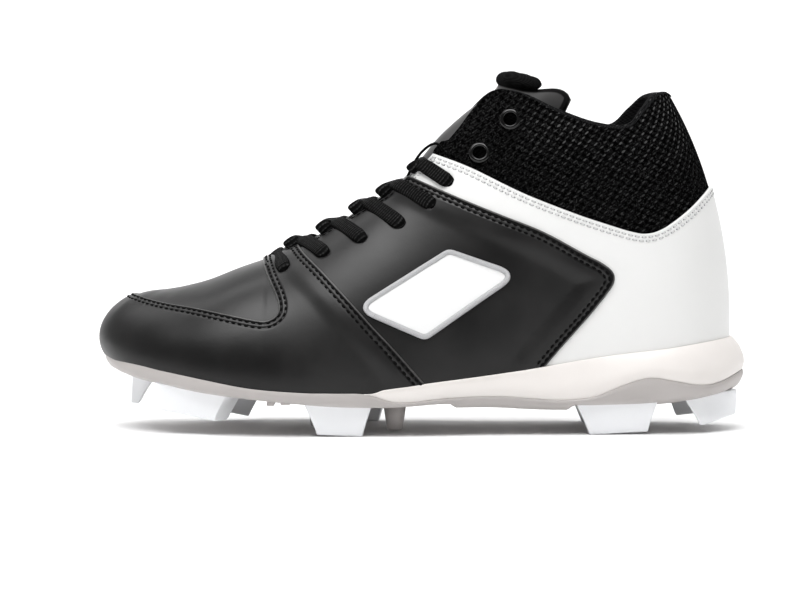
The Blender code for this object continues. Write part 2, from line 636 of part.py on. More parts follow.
def base_heights(xs):
    """Heights of a stud's base corners, on one slope that stays a gap below the outsole."""
    span = np.linspace(min(xs), max(xs), 9)
    under = np.array([sole_bottom(x) for x in span]) - GAP
    straight = np.linspace(under[0], under[-1], 9)
    lower = max(0.0, float(np.max(straight - under)))
    return np.interp(xs, span[[0, -1]], under[[0, -1]] - lower)


def stud_corners(front, rear, cleat, width):
    """The four corners of a stud in plan, at its base or its tip."""
    run = np.array([rear - front, cleat.y_rear - cleat.y_front])
    across = np.array([-run[1], run[0]]) / np.linalg.norm(run) * width / 2
    a = np.array([front, cleat.y_front])
    b = np.array([rear, cleat.y_rear])
    return np.array([a - across, b - across, b + across, a + across])


def build_cleat(home, cleat):
    """A stud: a tapered block from the outsole's underside to its tip, with rounded edges."""
    tip = stud_corners(cleat.tip_front, cleat.tip_rear, cleat, cleat.tip_w)
    base = stud_corners(cleat.base_front, cleat.base_rear, cleat, cleat.base_w)
    tip_z = np.array([cleat.z_front, cleat.z_rear, cleat.z_rear, cleat.z_front])
    base_z = base_heights(base[:, 0])
    bm = loft([np.column_stack([tip, tip_z]), np.column_stack([base, base_z])])
    upright = [e for e in bm.edges if abs(e.verts[0].co.z - e.verts[1].co.z) > 4.0]
    bmesh.ops.bevel(
        bm, geom=upright, offset=CLEAT_ROUND, segments=2, profile=0.5, affect="EDGES", clamp_overlap=True
    )
    return object_from(bm, cleat.name, home, "white_stud", WHITE_STUD)


def tongue_section(row):
    """The tongue's outer line across: it turns back and down from the middle to its two wings."""
    turns = np.radians(np.linspace(-TONGUE_TURN, TONGUE_TURN, TONGUE_ACROSS))
    fall = 1 - np.cos(turns)
    return np.stack([row[0] + row[3] * fall, row[2] * np.sin(turns), row[1] - row[4] * fall], axis=1)


def build_tongue(home):
    """The padded tongue, and the fabric roll on its top edge."""
    rows = smooth_columns(TONGUE_ROWS, np.linspace(0, len(TONGUE_ROWS) - 1, TONGUE_STATIONS))
    outer = np.array([tongue_section(row) for row in rows])
    normal = np.cross(np.gradient(outer, axis=1), np.gradient(outer, axis=0))
    normal /= np.linalg.norm(normal, axis=2)[:, :, None]
    if normal[len(rows) // 2, TONGUE_ACROSS // 2, 2] < 0:
        normal = -normal
    inner = outer - normal * rows[:, None, 5:6]
    sections = [[*o, *i[::-1]] for o, i in zip(outer, inner)]
    object_from(loft(sections), "tongue", home, "black_leather", BLACK_LEATHER)
    build_tongue_tab(home)


def build_tongue_tab(home):
    """A soft roll that follows the top edge of the tongue round its middle."""
    top = TONGUE_ROWS[-1]
    turns = np.radians(np.linspace(-TAB_TURN, TAB_TURN, TAB_POINTS))
    fall = 1 - np.cos(turns)
    back = top.x + TAB_BACK + top.back * fall
    across = top.half_width * np.sin(turns)
    height = top.z + TAB_RISE - TAB_DROP * top.drop * fall
    path = list(zip(back, across, height))
    tube("tongue_tab", path, TAB_RADIUS, home, "black_lace", BLACK_LACE)


def tube(name, path, radius, home, finish_name, finish):
    """A round cord along a path, as a closed mesh."""
    curve = bpy.data.curves.new(name, "CURVE")
    curve.dimensions = "3D"
    curve.bevel_depth = radius * MM
    curve.bevel_resolution = 2
    curve.use_fill_caps = True
    spline = curve.splines.new("POLY")
    spline.points.add(len(path) - 1)
    for point, (x, y, z) in zip(spline.points, path):
        point.co = (x * MM, y * MM, z * MM, 1.0)
    guide = bpy.data.objects.new(name, curve)
    bpy.context.scene.collection.objects.link(guide)
    graph = bpy.context.evaluated_depsgraph_get()
    bm = bmesh.new()
    bm.from_mesh(bpy.data.meshes.new_from_object(guide.evaluated_get(graph)))
    bpy.data.objects.remove(guide)
    bmesh.ops.remove_doubles(bm, verts=bm.verts, dist=1e-6)
    bmesh.ops.recalc_face_normals(bm, faces=bm.faces)
    bmesh.ops.scale(bm, vec=(1 / MM, 1 / MM, 1 / MM), verts=bm.verts)
    return object_from(bm, name, home, finish_name, finish)


def fine_side(medial):
    """One side of the upper's surface, finely cut, for placing things by their side view."""
    points, normals = upper_surface(station_rows(FINE_STATIONS), np.linspace(0, 1, FINE_RIB_POINTS))
    pick = is_medial(FINE_STATIONS) if medial else ~is_medial(FINE_STATIONS)
    return points[pick], normals[pick]


def place_on(side, hole):
    """The surface point and normal at a side-view place."""
    points, normals = side
    away = (points[:, :, 0] - hole.x) ** 2 + (points[:, :, 2] - hole.z) ** 2
    j, i = np.unravel_index(np.argmin(away), away.shape)
    return points[j, i], normals[j, i]


def throat_point(side, near):
    """The point of the throat edge closest to a lace hole, lifted to where a lace passes over it."""
    points, normals = side
    away = np.linalg.norm(points[:, -1] - near, axis=1)
    j = int(np.argmin(away))
    return points[j, -1] + normals[j, -1] * LACE_LIFT


def resting_on(side, near):
    """Where a lace lies over the surface closest to a point."""
    points, normals = side
    away = np.linalg.norm(points - near, axis=2)
    j, i = np.unravel_index(np.argmin(away), away.shape)
    return points[j, i] + normals[j, i] * LACE_LIFT


def tongue_middle(x):
    """Where a lace lies over the tongue's middle line."""
    table = np.array(TONGUE_ROWS)
    z = np.interp([x - 2, x, x + 2], table[:, 0], table[:, 1])
    slope = math.atan2(z[2] - z[0], 4.0)
    over = LACE_RADIUS + LACE_OVER_TONGUE
    return np.array([x - math.sin(slope) * over, 0.0, z[1] + math.cos(slope) * over])


def lace_paths():
    """A straight bar at the lowest pair of holes, then two crossing laces between each pair and the next."""
    sides = (fine_side(False), fine_side(True))
    holes = [[place_on(side, hole) for hole in LACE_HOLES] for side in sides]
    ends = [[p + n * LACE_LIFT for p, n in side] for side in holes]
    edges = [[throat_point(side, p) for p, _ in found] for side, found in zip(sides, holes)]
    rests = []
    for side, side_edges, side_ends in zip(sides, edges, ends):
        rests.append([resting_on(side, (edge + end) / 2) for edge, end in zip(side_edges, side_ends)])
    middle = (edges[0][0] + edges[1][0]) / 2 + np.array([0.0, 0.0, LACE_BAR_RISE])
    paths = [[ends[0][0], rests[0][0], edges[0][0], middle, edges[1][0], rests[1][0], ends[1][0]]]
    for k in range(len(LACE_HOLES) - 1):
        for low, high in ((0, 1), (1, 0)):
            start, over = edges[low][k], edges[high][k + 1]
            middle = tongue_middle((start[0] + over[0]) / 2)
            paths.append([start, middle, over, rests[high][k + 1], ends[high][k + 1]])
    return paths


def build_laces(home, helpers):
    """The lacing over the tongue, joined into one solid where its runs cross."""
    paths = lace_paths()
    laces = tube("laces", paths[0], LACE_RADIUS, home, "black_lace", BLACK_LACE)
    for n, path in enumerate(paths[1:]):
        run = as_helper(tube(f"lace_run_{n}", path, LACE_RADIUS, helpers, "black_lace", BLACK_LACE))
        add_boolean(laces, run, "UNION")
    return laces


def frame_of(normal):
    """Two directions across a normal."""
    first = np.cross(normal, np.array([0.0, 0.0, 1.0]))
    first /= np.linalg.norm(first)
    return first, np.cross(normal, first)


def ring_mesh(centre, normal):
    """A flat ring with a raised middle, lying across a normal."""
    first, second = frame_of(normal)
    middle_radius = (EYELET_RADIUS + EYELET_RING_RADIUS) / 2
    profile = (
        (EYELET_RADIUS, EYELET_SEAT),
        (EYELET_RING_RADIUS, EYELET_SEAT),
        (EYELET_RING_RADIUS - 0.4, EYELET_SEAT + 0.7 * EYELET_RING_HEIGHT),
        (middle_radius, EYELET_SEAT + EYELET_RING_HEIGHT),
        (EYELET_RADIUS, EYELET_SEAT + 0.7 * EYELET_RING_HEIGHT),
    )
    bm = bmesh.new()
    rings = []
    for turn in np.linspace(0, 2 * math.pi, HOLE_SIDES, endpoint=False):
        out = first * math.cos(turn) + second * math.sin(turn)
        rings.append([bm.verts.new(centre + out * r + normal * h) for r, h in profile])
    for a, b in zip(rings, rings[1:] + rings[:1]):
        for i in range(len(profile)):
            j = (i + 1) % len(profile)
            bm.faces.new((a[i], a[j], b[j], b[i]))
    bmesh.ops.recalc_face_normals(bm, faces=bm.faces)
    return bm


def hole_cutter(name, centre, normal, helpers):
    """A round cutter through the upper's wall."""
    first, second = frame_of(normal)
    sections = []
    for depth in (-HOLE_CUT_DEPTH, HOLE_CUT_DEPTH):
        turns = np.linspace(0, 2 * math.pi, HOLE_SIDES, endpoint=False)
        around_hole = [first * math.cos(a) + second * math.sin(a) for a in turns]
        sections.append([centre + normal * depth + out * EYELET_RADIUS for out in around_hole])
    return as_helper(object_from(loft(sections), name, helpers, "cutter", BLACK_MESH))


def build_eyelets(home, helpers):
    """The ringed eyelets on both sides of the collar. Returns the cutters of their holes."""
    cutters = []
    for medial, side_name in ((False, "lateral"), (True, "medial")):
        side = fine_side(medial)
        for n, hole in enumerate(RING_HOLES, 1):
            centre, normal = place_on(side, hole)
            name = f"eyelet_{side_name}_{n}"
            object_from(ring_mesh(centre, normal), name, home, "black_metal", BLACK_METAL)
            cutters.append(hole_cutter("cut_" + name, centre, normal, helpers))
    return cutters


def main():
    """Builds every solid of the shoe."""
    clear_scene()
    home = collection_named("softball_cleat")
    helpers = collection_named("cutters")
    build_upper(home, build_eyelets(home, helpers))
    build_overlays(home, helpers)
    build_outsole(home, helpers)
    build_midsole(home)
    build_insole(home)
    for cleat in [*CLEATS, TOE_BAR]:
        build_cleat(home, cleat)
    build_tongue(home)
    build_laces(home, helpers)


main()
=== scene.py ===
"""Softball cleat for the left foot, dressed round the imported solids.

The last, the seams, the lacing and the soles repeat the part's own tables, in millimetres.
The toe points along -X, the lateral side faces -Y and +Z is up.
Pieces are built in millimetres and scaled to metres when finished.
"""

import logging
import math
from dataclasses import dataclass, field, replace
from enum import Enum
from typing import Callable, NamedTuple, Optional, Sequence, Union

import bmesh
import bpy
import numpy as np
from bmesh.types import BMEdge, BMesh, BMVert
from mathutils import Matrix, Vector
from mathutils.bvhtree import BVHTree
from mathutils.kdtree import KDTree


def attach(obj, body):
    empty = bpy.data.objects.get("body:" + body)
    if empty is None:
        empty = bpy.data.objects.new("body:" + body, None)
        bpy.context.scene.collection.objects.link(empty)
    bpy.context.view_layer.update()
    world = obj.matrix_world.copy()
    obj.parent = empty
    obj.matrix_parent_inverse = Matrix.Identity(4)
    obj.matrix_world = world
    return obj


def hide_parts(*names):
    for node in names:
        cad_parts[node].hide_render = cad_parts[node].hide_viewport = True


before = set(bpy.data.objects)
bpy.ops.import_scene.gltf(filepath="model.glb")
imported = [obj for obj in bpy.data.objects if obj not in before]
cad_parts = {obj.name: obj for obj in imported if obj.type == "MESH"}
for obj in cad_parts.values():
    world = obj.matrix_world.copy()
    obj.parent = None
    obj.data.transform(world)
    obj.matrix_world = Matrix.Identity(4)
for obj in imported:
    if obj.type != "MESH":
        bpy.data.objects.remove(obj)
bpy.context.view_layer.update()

LOG = logging.getLogger("softball_cleat")
MM = 0.001
MIDDLE = Vector((-0.117, -1.637, 0.0))

Socket = bpy.types.NodeSocket
Feed = Union[float, Socket]
Array = np.ndarray
Values = Union[float, Array]
Colour = tuple[float, float, float]
Place = tuple[float, float, float]
Pair = tuple[float, float]
Line2 = Sequence[Pair]
SideValue = Callable[[Array], Array]
Placing = Callable[[Array, Array], Array]
Spot = tuple[Vector, Vector, Vector]


def grey(level: float) -> Colour:
    """A neutral colour."""
    return level, level, level


LEVEL = np.array([1.0, 1.0, 0.0])
UP = np.array([0.0, 0.0, 1.0])
WELD = 1e-3
FINE_WELD = 1e-4
TINY = 1e-12
NO_EDGE = 9.0


class Side(Enum):
    """The two sides of the shoe, as the sign of y."""

    LATERAL = -1
    MEDIAL = 1

    @property
    def word(self) -> str:
        """The side's name, as pieces and solids use it."""
        return self.name.lower()

    @property
    def other(self) -> "Side":
        """The side across the shoe."""
        return Side(-self.value)


class Section(NamedTuple):
    """One pair of ribs of the last: its foot line, its top line and how the ribs lean."""

    foot_x: float
    lateral: float
    medial: float
    foot_z: float
    bulge: float
    top_x: float
    skew: float
    mid_y: float
    gap: float
    top_z: float
    roof: float
    reach: float


class SoleRow(NamedTuple):
    """Side profile of the sole at one x."""

    x: float
    bottom: float
    wall_top: float
    flare: float
    bevel: float


class StudBlade(NamedTuple):
    """A white stud: its ends along x at base and tip, its middle line, widths and tip heights."""

    name: str
    base_front: float
    base_rear: float
    tip_front: float
    tip_rear: float
    y_front: float
    y_rear: float
    base_w: float
    tip_w: float
    z_front: float
    z_rear: float
    front_lean: float = 0.0
    rear_lean: float = 0.0


class LaceStop(NamedTuple):
    """A lace hole, its normal, the throat's edge above it and the lace's place over that edge."""

    hole: Array
    normal: Array
    edge: Array
    edge_normal: Array
    over: Array


class Lamp(NamedTuple):
    """A soft area light: its place, what it is aimed at, its size and its power."""

    name: str
    place: Place
    aim: Place
    size: Pair
    power: float


class TongueRow(NamedTuple):
    """The tongue's middle point at one height, and how its wings turn back and down."""

    x: float
    z: float
    half_width: float
    back: float
    drop: float
    thick: float


SECTIONS = tuple(Section(*row) for row in (
    (-135.4, 6.0, 6.0, 32.3, 6.6, -114.0, 0.0, 5.5, 0.0, 58.5, 1.00, 0.76),
    (-133.2, -5.0, 16.5, 31.8, 6.6, -112.0, 0.0, 5.4, 0.0, 58.7, 1.00, 0.76),
    (-127.5, -15.5, 25.0, 30.1, 5.8, -107.5, 0.0, 5.2, 0.0, 59.2, 1.00, 0.72),
    (-117.5, -25.5, 31.5, 27.6, 4.6, -100.5, 0.0, 5.0, 0.0, 60.5, 1.00, 0.66),
    (-103.5, -34.0, 36.8, 25.0, 3.6, -90.5, 0.0, 4.6, 0.0, 63.2, 1.00, 0.62),
    (-85.5, -40.8, 40.6, 22.2, 3.2, -77.5, 0.0, 4.2, 0.0, 68.3, 1.00, 0.62),
    (-66.0, -44.6, 42.4, 19.6, 3.0, -65.0, 0.0, 3.8, 0.0, 72.6, 0.98, 0.62),
    (-45.5, -45.8, 42.0, 18.5, 2.8, -49.5, 0.0, 3.2, 9.8, 78.0, 0.84, 0.60),
    (-24.0, -44.6, 39.6, 18.3, 2.6, -27.5, 0.0, 2.4, 12.0, 91.2, 0.70, 0.58),
    (3.0, -40.6, 35.8, 21.7, 2.6, -6.0, 0.0, 1.5, 13.5, 105.5, 0.58, 0.55),
    (24.0, -37.0, 33.4, 24.2, 2.8, 9.5, 0.0, 0.8, 16.0, 121.5, 0.46, 0.50),
    (40.0, -35.2, 32.3, 26.4, 3.2, 28.0, 0.0, 0.4, 20.5, 141.8, 0.34, 0.48),
    (53.0, -34.3, 31.8, 28.5, 3.4, 40.0, 0.0, 0.2, 26.5, 143.4, 0.24, 0.50),
    (67.0, -33.6, 31.6, 30.9, 3.6, 56.0, 0.0, 0.1, 31.0, 136.4, 0.14, 0.55),
    (81.0, -33.2, 31.5, 33.0, 3.8, 72.0, 1.5, 0.0, 32.6, 130.8, 0.06, 0.60),
    (95.0, -32.4, 30.9, 34.6, 4.0, 85.4, 3.0, 0.0, 32.0, 129.8, 0.0, 0.70),
    (107.5, -29.6, 28.4, 36.0, 3.7, 92.3, 2.0, 0.0, 29.0, 136.6, 0.0, 0.74),
    (118.0, -23.6, 22.8, 37.1, 2.4, 97.9, 1.0, 0.0, 23.0, 142.6, 0.0, 0.72),
    (126.0, -13.6, 13.2, 37.8, 1.6, 102.6, 0.4, 0.0, 13.0, 143.6, 0.0, 0.71),
    (130.4, 0.0, 0.0, 38.1, 1.3, 105.3, 0.0, 0.0, 0.0, 142.4, 0.0, 0.71),
))

SOLE_ROWS = tuple(SoleRow(*row) for row in (
    (-135.4, 24.2, 32.0, 0.2, 7.0),
    (-123.0, 22.6, 28.5, 0.7, 5.0),
    (-110.0, 20.6, 25.7, 1.0, 4.0),
    (-92.0, 17.8, 22.9, 1.2, 3.4),
    (-72.0, 15.6, 19.9, 1.5, 3.0),
    (-51.0, 13.7, 18.3, 1.5, 3.0),
    (-36.0, 12.6, 18.0, 1.5, 3.0),
    (-24.0, 12.2, 17.6, 1.5, 3.0),
    (-10.0, 12.2, 14.4, 1.6, 3.0),
    (10.0, 13.4, 16.0, 2.0, 3.0),
    (32.0, 12.5, 16.5, 2.6, 3.0),
    (48.0, 12.3, 15.4, 3.2, 3.4),
    (58.0, 12.2, 14.9, 3.8, 4.0),
    (72.0, 12.2, 16.4, 4.6, 5.0),
    (84.0, 12.2, 21.2, 5.2, 5.5),
    (94.0, 12.4, 24.1, 5.7, 5.9),
    (103.0, 13.0, 22.9, 6.0, 6.3),
    (112.5, 13.9, 20.9, 6.3, 6.7),
    (120.0, 14.9, 21.4, 6.4, 6.8),
    (130.4, 16.2, 25.4, 7.1, 6.4),
))

STUD_BLADES = tuple(StudBlade(*row) for row in (
    ("toe_lateral", -111.0, -80.0, -109.6, -86.0, -26.0, -34.0, 9.0, 6.0, 10.0, 6.0, 0.0, 3.6),
    ("toe_medial", -97.5, -68.0, -95.5, -76.0, 31.5, 35.5, 9.0, 6.0, 6.0, 1.8),
    ("ball_lateral", -50.0, -21.0, -44.0, -25.0, -39.5, -38.5, 9.0, 6.0, 0.8, 0.0),
    ("ball_medial", -44.0, -14.0, -38.0, -18.5, 35.0, 32.0, 9.0, 6.0, 0.0, 0.0),
    ("heel_lateral", 64.0, 98.5, 70.0, 94.5, -30.0, -29.0, 9.0, 6.0, 0.0, 1.2),
    ("heel_medial", 64.0, 98.5, 70.0, 94.5, 28.0, 27.0, 9.0, 6.0, 0.0, 0.0),
    ("rear_lateral", 107.4, 131.6, 115.3, 131.8, -24.5, -9.0, 9.0, 6.0, 3.2, 6.8, 5.4),
    ("rear_medial", 107.4, 131.6, 111.0, 131.8, 24.0, 9.0, 9.0, 6.0, 3.2, 6.8, 1.2),
    ("toe_bar", -123.5, -113.5, -124.5, -121.0, 6.0, 6.0, 22.0, 17.0, 10.8, 10.4),
))

TONGUE_ROWS = tuple(TongueRow(*row) for row in (
    (-84.0, 60.5, 15.0, 1.5, 5.0, 3.0),
    (-66.0, 68.0, 18.0, 3.0, 8.5, 3.2),
    (-46.0, 78.4, 21.0, 5.0, 14.0, 3.4),
    (-24.5, 92.0, 21.5, 9.0, 19.5, 3.6),
    (-6.5, 106.0, 20.5, 14.5, 20.5, 3.8),
    (4.4, 122.1, 21.0, 23.0, 20.0, 4.2),
    (16.8, 134.0, 22.2, 30.5, 15.5, 5.0),
    (29.2, 143.5, 23.6, 35.0, 11.0, 5.4),
    (32.4, 147.6, 23.0, 36.5, 10.0, 4.2),
))

VAMP_WINDOW = (
    (-129.0, 58.2), (-115.0, 54.9), (-106.0, 53.5), (-94.0, 52.1), (-81.0, 50.0), (-72.5, 48.5),
    (-65.9, 47.7), (-61.6, 49.2), (-59.9, 52.3), (-61.2, 57.7), (-64.7, 64.5), (-68.3, 73.0),
)
BALL_SEAM = (
    (-53.6, 79.5), (-49.0, 74.3), (-40.8, 66.9), (-30.1, 55.8), (-21.3, 46.2), (-12.2, 36.7), (1.8, 21.0),
)
QUARTER_EDGE = (
    (-6.5, 108.2), (14.2, 99.5), (33.4, 91.9), (50.4, 85.2), (68.3, 75.6), (74.6, 72.4), (79.0, 69.0),
    (80.2, 65.6), (78.6, 61.4), (71.9, 52.6), (64.9, 44.5), (58.0, 36.8), (48.0, 25.0),
)
HEEL_EDGE = (
    (-12.0, 124.0), (4.5, 117.6), (20.7, 111.5), (41.8, 101.3), (63.1, 92.9), (75.8, 88.6), (86.9, 85.2),
    (93.7, 84.3), (100.6, 86.4), (110.7, 93.4), (120.7, 102.1), (140.0, 118.0),
)
LACE_HOLES = ((-57.6, 68.2), (-40.9, 74.9), (-25.4, 81.2), (-9.6, 87.5), (4.3, 95.9), (11.3, 105.4))
RING_HOLES = ((24.4, 118.0), (36.8, 131.8))
AHEAD, BEHIND, BELOW, ABOVE = -200.0, 200.0, -20.0, 260.0


# Lines and tables

LINE_CUTS = 24


def catmull(table: Array, at: Array, closed: bool = False) -> Array:
    """Smooth values of a table between its rows.

    Args:
        table: One row a knot.
        at: Fractional row numbers.
        closed: True where the last row is followed by the first.

    Returns:
        One row for each number in at.
    """
    count = len(table)
    low = np.floor(at).astype(int)
    f = (at - low)[:, None]
    picked = [(low + k) % count if closed else np.clip(low + k, 0, count - 1) for k in (-1, 0, 1, 2)]
    p0, p1, p2, p3 = (table[k] for k in picked)
    slope, bend = p2 - p0, 2 * p0 - 5 * p1 + 4 * p2 - p3
    return 0.5 * (2 * p1 + slope * f + bend * f**2 + (3 * (p1 - p2) + p3 - p0) * f**3)


def table_at(rows: Sequence[NamedTuple], x: Array) -> Array:
    """Smooth columns of a table whose first column is x."""
    table = np.array(rows, float)
    return catmull(table, np.interp(x, table[:, 0], np.arange(len(table))))


def unit(vectors: Array) -> Array:
    """Vectors of length one, along the last axis."""
    return vectors / np.maximum(np.linalg.norm(vectors, axis=-1, keepdims=True), TINY)


def run_of(points: Array) -> Array:
    """Distance along a line of points, from zero."""
    return np.concatenate([[0.0], np.cumsum(np.linalg.norm(np.diff(points, axis=0), axis=1))])


def spaced(points: Array, step: float) -> Array:
    """The same line with points about a step apart."""
    run = run_of(points)
    places = np.linspace(0, run[-1], max(2, round(run[-1] / step) + 1))
    return np.column_stack([np.interp(places, run, points[:, k]) for k in range(points.shape[1])])


def smooth_line(points: Sequence, step: float) -> Array:
    """A smooth line through points, cut at an even step."""
    table = np.array(points, float)
    dense = catmull(table, np.linspace(0, len(table) - 1, LINE_CUTS * len(table)))
    return spaced(dense, step)


def smoothstep(low: float, high: float, x: Array) -> Array:
    """Zero below low, one above high, and smooth between."""
    f = np.clip((x - low) / (high - low), 0, 1)
    return f * f * (3 - 2 * f)


class Region:
    """A closed area of the side view, with signed distances to its edge."""

    def __init__(self, corners: Sequence) -> None:
        """Keeps the corners, as x and z."""
        self.corners = np.array(corners, float)

    def distance(self, xz: Array) -> Array:
        """Distance to the edge, negative inside.

        Args:
            xz: Points of the side view.

        Returns:
            One signed distance a point.
        """
        a, b = self.corners, np.roll(self.corners, -1, axis=0)
        near = np.full(len(xz), np.inf)
        inside = np.zeros(len(xz), bool)
        for (ax, az), (bx, bz) in zip(a, b):
            dx, dz = bx - ax, bz - az
            length = max(dx * dx + dz * dz, TINY)
            f = np.clip(((xz[:, 0] - ax) * dx + (xz[:, 1] - az) * dz) / length, 0, 1)
            near = np.minimum(near, np.hypot(xz[:, 0] - ax - f * dx, xz[:, 1] - az - f * dz))
            if az != bz:
                crosses = (az > xz[:, 1]) != (bz > xz[:, 1])
                inside ^= crosses & (xz[:, 0] < ax + (xz[:, 1] - az) * dx / dz)
        return np.where(inside, -near, near)


def no_edge(xz: Array) -> Array:
    """Distances for a panel without an edge that shows."""
    return np.full(len(xz), NO_EDGE)


SEAM_STEP = 0.8
WINDOW_BACK = -66.5
BEHIND_WINDOW = Region([
    *smooth_line(VAMP_WINDOW, SEAM_STEP), (WINDOW_BACK, ABOVE), (AHEAD, ABOVE), (AHEAD, VAMP_WINDOW[0][1]),
])
AHEAD_OF_BALL_SEAM = Region([
    (AHEAD, BELOW), (AHEAD, ABOVE), (BALL_SEAM[0][0], ABOVE), *smooth_line(BALL_SEAM, SEAM_STEP),
    (BALL_SEAM[-1][0], BELOW),
])
AHEAD_OF_QUARTER_EDGE = Region([
    (AHEAD, BELOW), (AHEAD, ABOVE), (QUARTER_EDGE[0][0], ABOVE), *smooth_line(QUARTER_EDGE, SEAM_STEP),
    (QUARTER_EDGE[-1][0], BELOW),
])
UNDER_HEEL_EDGE = Region([
    *smooth_line(HEEL_EDGE, SEAM_STEP), (BEHIND, HEEL_EDGE[-1][1]), (BEHIND, BELOW),
    (HEEL_EDGE[0][0], BELOW),
])


# The last


@dataclass
class Last:
    """The upper's outer shape: ribs from the foot line up to the top line, once round the shoe.

    A place u runs from the toe (0) along the lateral side to the heel and back along the medial side.
    A place t runs up a rib, from 0 at the foot line to 1 at the top line.
    """

    sections: tuple[Section, ...] = SECTIONS
    throat_row: int = 6
    foot_rise: float = 0.42
    heel_rise: float = 0.355
    collar_drop: float = 0.29
    collar_bulge: float = 0.3
    pole_reach: Pair = (18.0, 8.0)
    pole_rounds: int = 12
    pole_pull: float = 0.5
    ridge_limit: float = 0.6
    samples: int = 40
    controls: Array = field(init=False)
    outward: Array = field(init=False)

    def __post_init__(self) -> None:
        """Works out the four control points of each fine rib."""
        self.controls, self.outward = self._rib_controls()

    @property
    def turns(self) -> int:
        """Rows once round the shoe."""
        return 2 * len(self.sections) - 2

    @property
    def heel(self) -> int:
        """The row at the back of the heel."""
        return len(self.sections) - 1

    def _rib_controls(self) -> tuple[Array, Array]:
        """Control points of the ribs, and outward directions of the foot line."""
        rows = np.array(self.sections)
        loop = np.vstack([rows, rows[-2:0:-1]])
        medial = np.arange(len(loop)) >= len(rows)
        foot_y = np.where(medial, loop[:, 2], loop[:, 1])
        top_x = loop[:, 5] - np.where(medial, loop[:, 6], 0.0)
        gap = np.where(medial, 1.0, -1.0) * loop[:, 8]
        table = np.column_stack([loop[:, 0], foot_y, loop[:, 3:5], top_x, loop[:, 7], gap, loop[:, 9:12]])
        u = np.arange(0, self.turns, 1 / self.samples)
        c = catmull(table, u, closed=True)
        station = np.minimum(u, self.turns - u)
        shut = station <= self.throat_row
        foot = c[:, :3]
        along = np.roll(foot, -1, axis=0) - np.roll(foot, 1, axis=0)
        out = unit(np.column_stack([along[:, 1], -along[:, 0], np.zeros(len(u))]))
        top = np.column_stack([c[:, 4], c[:, 5] + np.where(shut, 0.0, c[:, 6]), c[:, 7]])
        bulge, roof, reach = c[:, 3:4], np.clip(c[:, 8:9], 0, 1), c[:, 9:10]
        height = (top[:, 2] - foot[:, 2])[:, None]
        rise = self.heel_rise + (self.foot_rise - self.heel_rise) * np.clip(2 * roof, 0, 1)
        first = foot + out * bulge + UP * rise * height
        lean = (foot - top) * LEVEL * reach
        arched = top + lean
        arched[:, 2] += np.where(shut, self._ridge_slope(station), 0.0) * lean[:, 0]
        stood = top + lean + out * self.collar_bulge * bulge - UP * self.collar_drop * height
        second = roof * arched + (1 - roof) * stood
        return np.stack([foot, first, second, top], axis=1), out

    def _ridge_slope(self, station: Array) -> Array:
        """Slope of the closed vamp's ridge at station rows."""
        fine = np.linspace(0, self.heel, 20 * self.heel + 1)
        ridge = catmull(np.array(self.sections)[:, [5, 9]], fine)
        slope = np.gradient(ridge[:, 1]) / np.gradient(ridge[:, 0])
        return np.clip(np.interp(station, fine, slope), 0, self.ridge_limit)

    def _between(self, table: Array, u: Array) -> Array:
        """Values of a fine table round the shoe, straight between its samples."""
        k = (u % self.turns) * self.samples
        low = np.floor(k).astype(int)
        f = (k - low).reshape(-1, *([1] * (table.ndim - 1)))
        count = len(table)
        return table[low % count] * (1 - f) + table[(low + 1) % count] * f

    def point(self, u: Array, t: Values) -> Array:
        """Points of the outer surface.

        Args:
            u: Places round the shoe.
            t: Places up the ribs, one for all or one a point.

        Returns:
            One point a place.
        """
        c = self._between(self.controls, u)
        high = np.broadcast_to(t, len(u))[:, None]
        low = 1 - high
        below = low**3 * c[:, 0] + 3 * low**2 * high * c[:, 1]
        return below + 3 * low * high**2 * c[:, 2] + high**3 * c[:, 3]

    def foot(self, u: Array) -> tuple[Array, Array]:
        """Foot line points and their outward directions."""
        return self._between(self.controls[:, 0], u), unit(self._between(self.outward, u))

    def stations(self, count: int, height: float = 0.35) -> Array:
        """Places from toe to heel, evenly spaced on the lateral side, with the throat's start among them."""
        fine = np.linspace(0, self.heel, 3000)
        run = run_of(self.point(fine, height))
        places = np.interp(np.linspace(0, run[-1], count + 1), run, fine)
        places[np.argmin(abs(places - self.throat_row))] = self.throat_row
        return places

    def round_places(self, count: int) -> Array:
        """Places once round the shoe, first and last at the toe."""
        half = self.stations(count)
        return np.concatenate([half, self.turns - half[-2::-1]])

    def sheet(self, u: Array, t: Array) -> BMesh:
        """A sheet on the outer surface, joined along the vamp's ridge and smoothed at the toe."""
        bm = mapped_grid(u, t, self.point)
        bmesh.ops.remove_doubles(bm, verts=bm.verts, dist=WELD)
        pole = Vector(self.point(np.zeros(1), 1.0)[0])
        for reach in np.linspace(*self.pole_reach, self.pole_rounds):
            near = [v for v in bm.verts if (v.co - pole).length < reach and not v.is_boundary]
            bmesh.ops.smooth_vert(
                bm, verts=near, factor=self.pole_pull, use_axis_x=True, use_axis_y=True, use_axis_z=True,
            )
        keep_normals(bm)
        return bm

    def on_side(self, side: Side, xz: Pair) -> tuple[Array, Array, float, float]:
        """The surface place seen at a point of the side view.

        Args:
            side: Which side is looked at.
            xz: The point in the side view.

        Returns:
            The point, its outward normal, and its places u and t.
        """
        u = np.linspace(0, self.heel, 500)
        u = u if side is Side.LATERAL else self.turns - u
        t = np.linspace(0, 1, 200)
        uu, tt = (a.ravel() for a in np.meshgrid(u, t))
        points = self.point(uu, tt)
        best = int(np.argmin(np.hypot(points[:, 0] - xz[0], points[:, 2] - xz[1])))
        normal = self.normals(uu[best : best + 1], tt[best : best + 1])[0]
        return points[best], normal, float(uu[best]), float(tt[best])

    def punch(self, bm: BMesh, holes: Line2, sides: Sequence[Side], radius: float) -> None:
        """Cuts round holes in a sheet, at points of the side view."""
        for xz in holes:
            for side in sides:
                centre, _, _, _ = self.on_side(side, xz)
                trim(bm, radius - np.linalg.norm(places_of(bm) - centre, axis=1))

